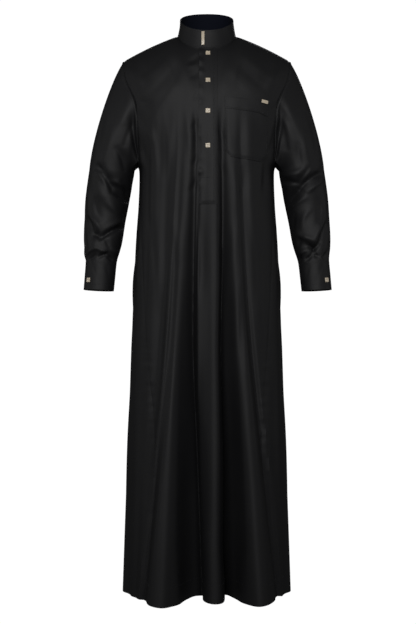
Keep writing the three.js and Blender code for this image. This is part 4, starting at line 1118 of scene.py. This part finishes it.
def collar_frame(share):
    """A point on the collar's join, the way out of the cloth, the way up and the way across."""
    lower = ring_points(NECK, front_turn(NECK, COLLAR_SLIT_X))
    upper = ring_points(RIM, front_turn(RIM, COLLAR_SLIT_X))
    out = unit(np.array([lower[0] / NECK["half_width"] ** 2,
                         (lower[1] - NECK["middle_y"]) / NECK["half_depth"] ** 2, 0]))
    up = unit(upper - lower)
    across = unit(np.cross(up, out))
    out = np.cross(across, up)
    return lower * (1 - share) + upper * share, out, up, across


def frame_matrix(point, across, up, out):
    """Puts a part drawn flat, with +X across, +Y up and +Z out of the cloth, on its place."""
    columns = np.stack([unit(across), unit(up), unit(out)], 1)
    return Matrix([[*columns[i], point[i] * MM] for i in range(3)] + [[0, 0, 0, 1]])


def start_editing():
    bpy.ops.object.mode_set(mode="EDIT")
    bpy.ops.mesh.select_all(action="SELECT")


def finish_editing():
    bpy.ops.object.mode_set(mode="OBJECT")
    bpy.ops.object.shade_smooth_by_angle(angle=math.radians(40))


def add_plate(name, width, height, thick, bevel, matrix):
    """A flat plate with rounded edges, drawn with its back on z = 0 and put on its place."""
    bpy.ops.mesh.primitive_cube_add(size=1)
    plate = bpy.context.object
    plate.name = name
    start_editing()
    bpy.ops.transform.resize(value=(width * MM, height * MM, thick * MM))
    bpy.ops.transform.translate(value=(0, 0, thick * MM / 2))
    bpy.ops.mesh.bevel(offset=bevel * MM, segments=3, profile=0.5, affect="EDGES")
    finish_editing()
    plate.data.transform(matrix)
    made[name] = plate


bar_point, bar_out, bar_up, bar_across = collar_frame((BAR["from_share"] + BAR["to_share"]) / 2)
collar_height = np.linalg.norm(collar_frame(1)[0] - collar_frame(0)[0])
bar_length = (BAR["to_share"] - BAR["from_share"]) * collar_height
add_plate("collar_bar", BAR["width"], bar_length, BAR["thick"], BAR["bevel"],
          frame_matrix(bar_point + bar_out * BAR["stands"], bar_across, bar_up, bar_out))
print("bar", round(float(bar_length), 1), "mm long")

# %% [markdown]
# What is sewn on the front follows the front. A Shrinkwrap modifier could lay a flat patch on it,
# but would pull it into every crease. Here each point of a patch is found by looking at the finished
# front from ahead, blurred a little, and then moved out by the cloth that lies under it. The edges
# are sewn down and lie close. Between them the cloth stands off a little.

# %% Patches on the front
front_tree = BVHTree.FromObject(made["front"], bpy.context.evaluated_depsgraph_get())


def on_front(tree, x, z):
    """Depth of a skin seen from ahead, in millimetres."""
    hit = tree.ray_cast(Vector((x * MM, -1.0, z * MM)), Vector((0, 1, 0)))
    return hit[0][1] / MM


def blur(values, passes):
    for _ in range(passes):
        padded = np.pad(values, 1, mode="edge")
        values = (4 * values + padded[:-2, 1:-1] + padded[2:, 1:-1] + padded[1:-1, :-2]
                  + padded[1:-1, 2:]) / 8
    return values


def patch_grid(x, z, distance, passes=3):
    """A patch given by the place of its points seen from ahead, moved out by a distance."""
    depth = np.array([[on_front(front_tree, a, b) for a, b in zip(row_x, row_z)]
                      for row_x, row_z in zip(x, z)])
    grid = make_grid(np.stack([x, blur(depth, passes), z], -1))
    lift_grid(grid, distance)
    return grid_normals(grid)


def edge_distance(across, up, width, height):
    """How far each point of a patch lies from its nearest edge, in millimetres."""
    return np.minimum(np.minimum(across, 1 - across) * width, np.minimum(up, 1 - up) * height)


def patch_square(columns, rows):
    return np.meshgrid(np.linspace(0, 1, columns + 1), np.linspace(0, 1, rows + 1))


SEWN_GAP = 0.35
print("patches lie", SEWN_GAP, "mm off the cloth under them")

# %% [markdown]
# The placket is a long doubled strip over the front opening, from the neck seam to the belly. Its
# edge on the wearer's right is free and lifts a little between the buttons. It could be raised out
# of the front's own grid, but then it would have no edge. As a patch it follows the folds and casts
# its own thin shadow.

# %% Placket
PLACKET = {"right": -19, "left": 27, "bottom_z": -448, "top_gap": 1.5, "columns": 22, "rows": 176}
PLACKET_WIDTH = PLACKET["left"] - PLACKET["right"]
PLACKET_HEIGHT = 408
PLACKET_SEAMS = (0.79, 0.86)
PLACKET_STANDS = {"middle": 1.1, "inset": 9, "edge": 1.0, "edge_share": 0.25, "free_share": 0.42,
                  "seam": 0.45, "seam_width": 0.03, "wave": 0.5, "wave_length": 23}
# Places where its free edge lifts between the buttons: height, lift, half length
EDGE_LIFTS = [
    (-58, 2.4, 9), (-84, 3.4, 11), (-112, 2.8, 10), (-158, 1.5, 12), (-190, 1.8, 10),
    (-244, 1.6, 12), (-274, 2.0, 11), (-330, 1.8, 10), (-366, 3.8, 9), (-398, 1.8, 12),
]


def placket_grid():
    across, up = patch_square(PLACKET["columns"], PLACKET["rows"])
    x = PLACKET["right"] + PLACKET_WIDTH * across
    top = oval_height(NECK, np.sin(front_turn(NECK, x))) - PLACKET["top_gap"]
    z = PLACKET["bottom_z"] + (top - PLACKET["bottom_z"]) * up
    inset = edge_distance(across, up, PLACKET_WIDTH, PLACKET_HEIGHT)
    stands = PLACKET_STANDS
    distance = CLOTH + SEWN_GAP + stands["middle"] * smooth(0, stands["inset"], inset)
    distance += stands["edge"] * (1 - smooth(0, stands["edge_share"], across))
    free_edge = 1 - smooth(0, stands["free_share"], across)
    for place, lift, half in EDGE_LIFTS:
        distance += free_edge * lift * hump(z - place, half)
    # the stitched side is drawn in along its two lines of stitches
    for place in PLACKET_SEAMS:
        distance -= stands["seam"] * hump(across - place, stands["seam_width"])
    wavy = smooth(0, 0.2, across) * (1 - smooth(0.5, 0.75, across))
    distance += stands["wave"] * wavy * np.sin(z / stands["wave_length"] + 1)
    return patch_grid(x, z, distance)


placket = placket_grid()
add_wall("placket", placket, CLOTH)
print("placket", placket["points"].shape[:2])

# %% [markdown]
# The chest pocket is a bag with cut-off lower corners under a deep band, and the band carries a
# small cream tag. A box pressed into the front would look stuck on. The patch helper lays first the
# bag and then the band, sewn down at the sides and a little open at the mouth. The tag is a
# bevelled plate that leans as the cloth under it does.

# %% Pocket, its band and its tag
POCKET = {
    "right": 46, "left": 154, "top_z": -175, "top_slope": -0.1, "top_corner": -6, "depth": 152,
    "bottom_slope": -0.12, "corner": 16, "columns": 44, "rows": 62,
}
POCKET_STANDS = {"middle": 1.2, "inset": 10, "mouth": 1.6, "mouth_from": 0.7, "slack": 0.7,
                 "slack_inset": (4, 24)}
POCKET_BAND = {"depth": 31, "rows": 14, "gap": 0.3}
POCKET_TAG = {"x": 145, "z": -186.5, "width": 18, "height": 8.5, "thick": 1.6, "bevel": 0.5,
              "tilt": -10, "seat": (9, 4.5)}
POCKET_WIDTH = POCKET["left"] - POCKET["right"]


def pocket_top(across):
    corner = POCKET["top_corner"] * smooth(0.75, 1, across)
    return POCKET["top_z"] + POCKET["top_slope"] * POCKET_WIDTH * across + corner


def pocket_bottom(across):
    cut = np.maximum(POCKET["corner"] - np.minimum(across, 1 - across) * POCKET_WIDTH, 0)
    return POCKET["top_z"] - POCKET["depth"] + POCKET["bottom_slope"] * POCKET_WIDTH * across + cut


def pocket_distance(across, up, z):
    """The pocket is sewn down at its sides and bottom, and stands a little open at the top."""
    inset = np.minimum(np.minimum(across, 1 - across) * POCKET_WIDTH, up * POCKET["depth"])
    mouth = smooth(POCKET_STANDS["mouth_from"], 1, up) * np.sin(np.pi * across)
    stands = (POCKET_STANDS["middle"] * smooth(0, POCKET_STANDS["inset"], inset)
              + POCKET_STANDS["mouth"] * mouth)
    slack = np.sin(across * 8 + z / 31) * smooth(*POCKET_STANDS["slack_inset"], inset)
    return CLOTH + SEWN_GAP + stands + POCKET_STANDS["slack"] * slack


def pocket_grids():
    """The bag of the pocket and, on its upper end, the band."""
    across, up = patch_square(POCKET["columns"], POCKET["rows"])
    x = POCKET["right"] + POCKET_WIDTH * across
    low, high = pocket_bottom(across), pocket_top(across)
    z = low + (high - low) * up
    bag = patch_grid(x, z, pocket_distance(across, up, z))
    across, up = patch_square(POCKET["columns"], POCKET_BAND["rows"])
    x = POCKET["right"] + POCKET_WIDTH * across
    low, high = pocket_bottom(across), pocket_top(across)
    z = high - POCKET_BAND["depth"] * (1 - up)
    share = (z - low) / (high - low)
    roll = -0.5 * smooth(0.85, 1, up) - 0.35 * (1 - smooth(0, 0.12, up))
    band = patch_grid(x, z, pocket_distance(across, share, z) + CLOTH + POCKET_BAND["gap"] + roll)
    return bag, band


pocket, pocket_band = pocket_grids()
add_wall("pocket", pocket, CLOTH)
add_wall("pocket_band", pocket_band, CLOTH)


def seat_on(piece, grid, x, z, half_width, half_height):
    """A flat seat seen from ahead: it leans as the piece does and clears the grid under it."""
    tree = BVHTree.FromObject(piece, bpy.context.evaluated_depsgraph_get())

    def at(dx, dz):
        return np.array([x + dx, on_front(tree, x + dx, z + dz), z + dz])
    across = unit(at(half_width, 0) - at(-half_width, 0))
    out = unit(np.cross(across, at(0, half_height) - at(0, -half_height)))
    seat = at(0, 0)
    points = grid["points"]
    near = points[(np.abs(points[..., 0] - x) < half_width + 1)
                  & (np.abs(points[..., 2] - z) < half_height + 1)]
    highest = float(((near - seat) @ out).max())
    return seat + out * (highest + 0.1), across, unit(np.cross(out, across)), out


tag_point, tag_across, tag_up, tag_out = seat_on(made["front"], pocket_band, POCKET_TAG["x"],
                                                 POCKET_TAG["z"], *POCKET_TAG["seat"])
tilt = math.radians(POCKET_TAG["tilt"])
turned_across = tag_across * math.cos(tilt) + tag_up * math.sin(tilt)
turned_up = tag_up * math.cos(tilt) - tag_across * math.sin(tilt)
add_plate("pocket_tag", *[POCKET_TAG[key] for key in ("width", "height", "thick", "bevel")],
          frame_matrix(tag_point, turned_across, turned_up, tag_out))
print("pocket", pocket["points"].shape[:2], "band", pocket_band["points"].shape[:2])

# %% [markdown]
# Six square buttons of cream enamel carry the same cross groove. The groove could be cut out with a
# Boolean, which leaves hard thin edges. Here one button is modelled from a plane: it is cut into
# four, given a thickness, and each quarter is inset and raised, so the gaps between the quarters
# make the cross. The others are copies of its mesh.

# %% Buttons
BUTTON = {"size": 11.5, "base": 1.7, "pad": 0.9, "groove": 0.6, "bevel": 0.28, "seat": 5}
BUTTON_X = 3.3
BUTTON_HEIGHTS = [-60, -134, -213, -301]
CUFF_BUTTON = {"turn": 50, "z": -642, "stands": 0.3}


def model_button():
    bpy.ops.mesh.primitive_plane_add(size=BUTTON["size"] * MM)
    button = bpy.context.object
    start_editing()
    bpy.ops.mesh.subdivide(number_cuts=1)
    bpy.ops.mesh.extrude_region_move(TRANSFORM_OT_translate={"value": (0, 0, BUTTON["base"] * MM)})
    bpy.ops.mesh.inset(thickness=BUTTON["groove"] * MM, use_individual=True)
    bpy.ops.mesh.extrude_faces_move(TRANSFORM_OT_shrink_fatten={"value": BUTTON["pad"] * MM})
    bpy.ops.object.mode_set(mode="OBJECT")
    # the plane's own four faces close the back, facing down
    shape = bmesh.new()
    shape.from_mesh(button.data)
    bmesh.ops.recalc_face_normals(shape, faces=shape.faces)
    shape.to_mesh(button.data)
    shape.free()
    bpy.ops.object.mode_set(mode="EDIT")
    bpy.ops.mesh.select_all(action="DESELECT")
    bpy.ops.mesh.select_mode(type="EDGE")
    bpy.ops.mesh.edges_select_sharp(sharpness=math.radians(60))
    bpy.ops.mesh.bevel(offset=BUTTON["bevel"] * MM, segments=3, profile=0.5, affect="EDGES")
    finish_editing()
    return button


button_model = model_button()


def place_button(name, point, across, up, out):
    button = add_object(name, button_model.data.copy())
    button.data.transform(frame_matrix(point, across, up, out))


for number, height in enumerate(BUTTON_HEIGHTS, 1):
    seat = seat_on(made["placket"], placket, BUTTON_X, height, BUTTON["seat"], BUTTON["seat"])
    place_button(f"front_button_{number}", *seat)

for side, name in ((-1, "cuff_button_right"), (1, "cuff_button_left")):
    z = np.float64(CUFF_BUTTON["z"])
    point, down = arm_points(side, z, np.float64(math.radians(CUFF_BUTTON["turn"])))
    out = point - arm_section(side, z)[0]
    out = unit(out - down * float(out @ down))
    place_button(name, point + out * CUFF_BUTTON["stands"], unit(np.cross(-down, out)), -down, out)
bpy.data.objects.remove(button_model)
print("buttons:", [name for name in made if "button" in name])

# %% [markdown]
# Topstitching shows as rows of short dark beads near the edges. A bump texture would do from afar,
# but goes flat close by. So each stitch is a small rounded bead that lies half in the cloth, and
# every row of stitches is one mesh. The rows follow lines on the grids, so they bend with the folds.

# %% Stitches
STITCH = {"pitch": 3.4, "length": 2.5, "radius": 0.32, "rise": 0.12}
# A bead is four rings of six points: where each ring lies along it, and how thick it is
BEAD_RINGS = [(-0.5, 0.35), (-0.38, 1), (0.38, 1), (0.5, 0.35)]
BEAD_SIDES = 6
BEAD_FACES = [(k + m, k + (m + 1) % BEAD_SIDES, k + (m + 1) % BEAD_SIDES + BEAD_SIDES, k + m + BEAD_SIDES)
              for k in (0, BEAD_SIDES, 2 * BEAD_SIDES) for m in range(BEAD_SIDES)]
BEAD_FACES += [tuple(reversed(range(BEAD_SIDES))), tuple(range(3 * BEAD_SIDES, 4 * BEAD_SIDES))]


def trace(grid, row, column):
    """Points and directions of a grid at places between its rows and columns."""
    rows, columns = grid["points"].shape[:2]
    row = np.clip(np.asarray(row, float), 0, rows - 1.001)
    column = np.clip(np.asarray(column, float), 0, columns - 1.001)
    i, j = row.astype(int), column.astype(int)
    up, across = (row - i)[:, None], (column - j)[:, None]

    def mixed(values):
        low = values[i, j] * (1 - across) + values[i, j + 1] * across
        high = values[i + 1, j] * (1 - across) + values[i + 1, j + 1] * across
        return low * (1 - up) + high * up
    return mixed(grid["points"]), unit(mixed(grid["normals"]))


def add_stitches(name, lines):
    """One mesh with a bead for each stitch along lines of (points, directions)."""
    ring = np.linspace(0, 2 * np.pi, BEAD_SIDES, endpoint=False)
    pitch, length = STITCH["pitch"], STITCH["length"]
    vertices = []
    faces = []
    for points, normals in lines:
        steps = np.linalg.norm(np.diff(points, axis=0), axis=1)
        place = np.concatenate([[0], np.cumsum(steps)])
        for middle in np.arange(pitch, place[-1] - pitch / 2, pitch):
            ends = [middle - length / 2, middle, middle + length / 2]
            spots = np.stack([np.interp(ends, place, points[:, k]) for k in range(3)], -1)
            out = unit(np.array([np.interp(middle, place, normals[:, k]) for k in range(3)]))
            along = unit(spots[2] - spots[0])
            side = unit(np.cross(along, out))
            faces += [tuple(len(vertices) + corner for corner in face) for face in BEAD_FACES]
            for share, size in BEAD_RINGS:
                centre = spots[1] + along * length * share + out * (STITCH["rise"] + 0.1 * (size - 1))
                reach = STITCH["radius"] * size
                vertices += [centre + side * reach * math.cos(turn) + out * reach * math.sin(turn)
                             for turn in ring]
    add_object(name, smooth_mesh(name, vertices, faces))


def row_of_height(grid, height):
    """The row of a grid of the body whose plain height is given."""
    rows = len(grid["points"])
    return float(np.interp(height, PANEL_HEIGHTS[:rows], np.arange(rows)))


def along_row(grid, row, start=0.0, stop=None, count=400):
    last = grid["points"].shape[1] - 1 if stop is None else stop
    return trace(grid, np.full(count, float(row)), np.linspace(start, last, count))


def along_column(grid, column, start=0.0, stop=None, count=400):
    last = grid["points"].shape[0] - 1 if stop is None else stop
    return trace(grid, np.linspace(start, last, count), np.full(count, float(column)))


# Rows of stitches lie 46 mm above the hem, and on the placket 2.2 and 68 mm above its lower end
HEM_STITCH = 46
PLACKET_ROW = 2.35
low_row, cross_row = 2.2 / PLACKET_ROW, 68 / PLACKET_ROW
seam_columns = [share * PLACKET["columns"] for share in PLACKET_SEAMS]
add_stitches("hem_stitches", [along_row(grid, row_of_height(grid, HEM_Z + HEM_STITCH))
                              for grid in BODY_GRIDS])
add_stitches("placket_stitches", [
    along_column(placket, seam_columns[0], 1),
    along_column(placket, seam_columns[1], 1),
    along_column(placket, 1.0, 1, cross_row),
    along_row(placket, cross_row, 1, seam_columns[0]),
    along_row(placket, low_row, 1, seam_columns[0]),
])

inset = 2.0 / (POCKET_WIDTH / POCKET["columns"])
last = POCKET["columns"]
band_start = POCKET["rows"] * (1 - POCKET_BAND["depth"] / POCKET["depth"])
add_stitches("pocket_stitches", [
    along_column(pocket, inset, 1, band_start),
    along_column(pocket, last - inset, 1, band_start),
    along_row(pocket, 1.0, inset, last - inset),
    along_row(pocket_band, 1.6, 0.6, last - 0.6),
    along_column(pocket_band, inset, 0.5, POCKET_BAND["rows"] - 0.6),
    along_column(pocket_band, last - inset, 0.5, POCKET_BAND["rows"] - 0.6),
])
last = collar["points"].shape[1] - 1
add_stitches("collar_stitches", [along_row(collar, row, 0.4, last - 0.4, 900)
                                 for row in (COLLAR_ROWS - 1.2, 0.9)])
cuff_row = 12.8 / ((CUFF_TOP_Z - CUFF_BOTTOM_Z) / CUFF_ROWS)
for name, grid in (("cuff_stitches_right", cuff_right), ("cuff_stitches_left", cuff_left)):
    last = grid["points"].shape[1] - 1
    add_stitches(name, [along_row(grid, row, 0.8, last - 0.8) for row in (cuff_row, CUFF_ROWS - 1.2)])
print("stitch faces:", sum(len(piece.data.polygons) for name, piece in made.items() if "stitches" in name))

# %% [markdown]
# Fine black suiting takes light softly: dark where it faces the light, a thin sheen where it turns
# away. A photographed weave would repeat and carry its own light, so the fine diagonal twill is a
# bump drawn along the cloth's own lengths, and slow changes of colour keep large faces from looking
# printed. The navy facing is duller still. The cream trims are polished enamel with faint clouds.

# %% Materials
def set_inputs(node, values):
    for name, value in values.items():
        node.inputs[name].default_value = value


def new_material(name, colour, values):
    """A material, its shader with the colour and the other values set, and its node tree."""
    material = bpy.data.materials.new(name)
    material.use_nodes = True
    shader = material.node_tree.nodes["Principled BSDF"]
    set_inputs(shader, {"Base Color": (*colour, 1), **values})
    return material, shader, material.node_tree


def add_node(tree, kind, values, links):
    """A shader node with values on some inputs and outputs of other nodes on others."""
    node = tree.nodes.new("ShaderNode" + kind)
    set_inputs(node, values)
    for name, output in links.items():
        tree.links.new(output, node.inputs[name])
    return node


def vary_colour(tree, shader, scale, detail, colours, places):
    """Slow changes between two colours over the piece."""
    place = add_node(tree, "TexCoord", {}, {})
    clouds = add_node(tree, "TexNoise", {"Scale": scale, "Detail": detail},
                      {"Vector": place.outputs["Object"]})
    tones = add_node(tree, "ValToRGB", {}, {"Fac": clouds.outputs["Fac"]})
    for element, colour, position in zip(tones.color_ramp.elements, colours, places):
        element.position = position
        element.color = (*colour, 1)
    tree.links.new(tones.outputs["Color"], shader.inputs["Base Color"])


def add_weave(tree, shader):
    """A fine diagonal twill with loose fibres, as a bump."""
    lengths = add_node(tree, "UVMap", {}, {})
    lengths.uv_map = "cloth"
    twill = add_node(tree, "TexWave", {"Scale": 420, "Distortion": 0.6, "Detail": 1},
                     {"Vector": lengths.outputs["UV"]})
    twill.wave_type = "BANDS"
    twill.bands_direction = "DIAGONAL"
    fibre = add_node(tree, "TexNoise", {"Scale": 900, "Detail": 2}, {"Vector": lengths.outputs["UV"]})
    height = add_node(tree, "Math", {1: 0.5}, {0: fibre.outputs["Fac"], 2: twill.outputs["Fac"]})
    height.operation = "MULTIPLY_ADD"
    bump = add_node(tree, "Bump", {"Strength": 0.12, "Distance": 0.00025},
                    {"Height": height.outputs["Value"]})
    tree.links.new(bump.outputs["Normal"], shader.inputs["Normal"])


def cloth_material(name, colour, roughness, sheen, specular=0.4, weave=True):
    material, shader, tree = new_material(name, colour, {
        "Roughness": roughness, "Specular IOR Level": specular, "Sheen Weight": sheen,
        "Sheen Roughness": 0.45, "Sheen Tint": (0.9, 0.92, 1.0, 1)})
    shades = [[share * value for value in colour] for share in (0.88, 1.12)]
    vary_colour(tree, shader, 7, 3, shades, (0.3, 0.7))
    if weave:
        add_weave(tree, shader)
    return material


def trim_material():
    material, shader, tree = new_material("cream trim", (0.8, 0.68, 0.5), {
        "Roughness": 0.28, "Coat Weight": 0.3, "Coat Roughness": 0.15})
    vary_colour(tree, shader, 160, 2, [(0.66, 0.55, 0.4), (0.86, 0.76, 0.6)], (0, 1))
    return material


def slot_of(name):
    """The material slot of the construction piece that a visible piece belongs to."""
    if "button" in name or name in ("collar_bar", "pocket_tag"):
        return "cream_trim"
    return "navy_cloth" if name == "collar_facing" else "black_cloth"


THREAD = cloth_material("black thread", (0.014, 0.014, 0.016), 0.5, 0.05, weave=False)
FINISHES = {
    "black_cloth": cloth_material("black cloth", (0.0086, 0.0086, 0.0096), 0.6, 0.0),
    "navy_cloth": cloth_material("navy cloth", (0.0042, 0.0056, 0.0125), 0.85, 0.0, specular=0.15),
    "cream_trim": trim_material(),
}
for name, piece in made.items():
    piece.data.materials.clear()
    piece.data.materials.append(THREAD if "stitches" in name else FINISHES[slot_of(name)])
print("materials on", len(made), "pieces")

# %% [markdown]
# Every piece rides on the body of the frame and stands for its construction piece. The sheets also
# state the size that they were cut to, before folds and shaping took some of it up. It could be
# guessed; here it follows from the lengths along each grid, which are printed.

# %% What each piece stands for
NODES = {"front": "front_panel", "back": "back_panel", "side_right": "side_panel_right",
         "side_left": "side_panel_left", "pocket": "chest_pocket"}
# piece: cut width, cut length, area of the cut, what it lies on, what is sewn into it
SHEETS = {
    "front": (0.69, 1.51, 0.68, [], ["hem_stitches"]),
    "back": (0.62, 1.53, 0.63, [], []),
    "side_right": (0.31, 1.14, 0.24, [], []),
    "side_left": (0.28, 1.14, 0.22, [], []),
    "sleeve_right": (0.41, 0.56, 0.163, [], []),
    "sleeve_left": (0.41, 0.56, 0.163, [], []),
    "cuff_right": (0.25, 0.072, None, [], ["cuff_stitches_right"]),
    "cuff_left": (0.25, 0.072, None, [], ["cuff_stitches_left"]),
    "collar_band": (0.455, 0.045, None, [], ["collar_stitches"]),
    "collar_facing": (0.45, 0.047, None, ["collar_band"], []),
    "placket": (0.047, 0.415, None, ["front_panel"], ["placket_stitches"]),
    "pocket": (0.116, 0.168, 0.0176, ["front_panel"], ["pocket_stitches"]),
    "pocket_band": (0.114, 0.044, 0.0036, ["chest_pocket"], []),
}
for name, (width, length, area, under, sewn) in SHEETS.items():
    along = grid_uv(grids[name])
    print(name, "runs", round(float(np.ptp(along[..., 0], axis=1).max()), 3), "m across and",
          round(float(along[..., 1].max()), 3), "m along")
for name, piece in made.items():
    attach(piece, "root")
    if "stitches" not in name:
        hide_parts(NODES.get(name, name))

# %% [markdown]
# The room is a large white ball that only the camera sees, so the back is as white as the front. A
# floor and a backdrop would do for one view, but hide the piece from behind. Wide soft lights stand
# in front, at both sides and behind. Black cloth needs them large, because its folds are only seen
# by what they reflect.

# %% Studio
ROOM_RADIUS = 14
bpy.ops.mesh.primitive_uv_sphere_add(segments=64, ring_count=32, radius=ROOM_RADIUS, location=(0, 0, 0))
room = bpy.context.active_object
room.name = "white_room"
room_paint, _, _ = new_material("white room", (0.8, 0.8, 0.8), {
    "Roughness": 0.9, "Emission Color": (1, 1, 1, 1), "Emission Strength": 0.98})
room.data.materials.append(room_paint)
room.visible_diffuse = False
room.visible_glossy = False
room.visible_shadow = False

# name: place, what it is turned to, width and height, power
LIGHTS = {
    "front_light": ((-0.25, -3.4, 0.6), (0, 0, -0.7), (3.6, 1.2), 63),
    "left_light": ((-3.0, -0.3, 0.0), (0, 0, -0.5), (0.6, 2.2), 7),
    "right_light": ((3.0, -0.3, 0.0), (0, 0, -0.5), (0.6, 2.2), 6),
    "back_light": ((0.3, 3.6, 1.4), (0, 0, -0.6), (2.6, 1.2), 34),
}
for name, (location, target, size, power) in LIGHTS.items():
    data = bpy.data.lights.new(name, "AREA")
    data.shape = "RECTANGLE"
    data.size, data.size_y = size
    data.energy = power
    light = bpy.data.objects.new(name, data)
    light.location = location
    light.rotation_euler = (Vector(target) - Vector(location)).to_track_quat("-Z", "Y").to_euler()
    light.visible_camera = False
    bpy.context.scene.collection.objects.link(light)

world = bpy.data.worlds.new("world")
world.use_nodes = True
set_inputs(world.node_tree.nodes["Background"], {"Color": (1, 1, 1, 1), "Strength": 0.04})
bpy.context.scene.world = world
bpy.context.scene.view_settings.view_transform = "Standard"
print("lights:", list(LIGHTS))
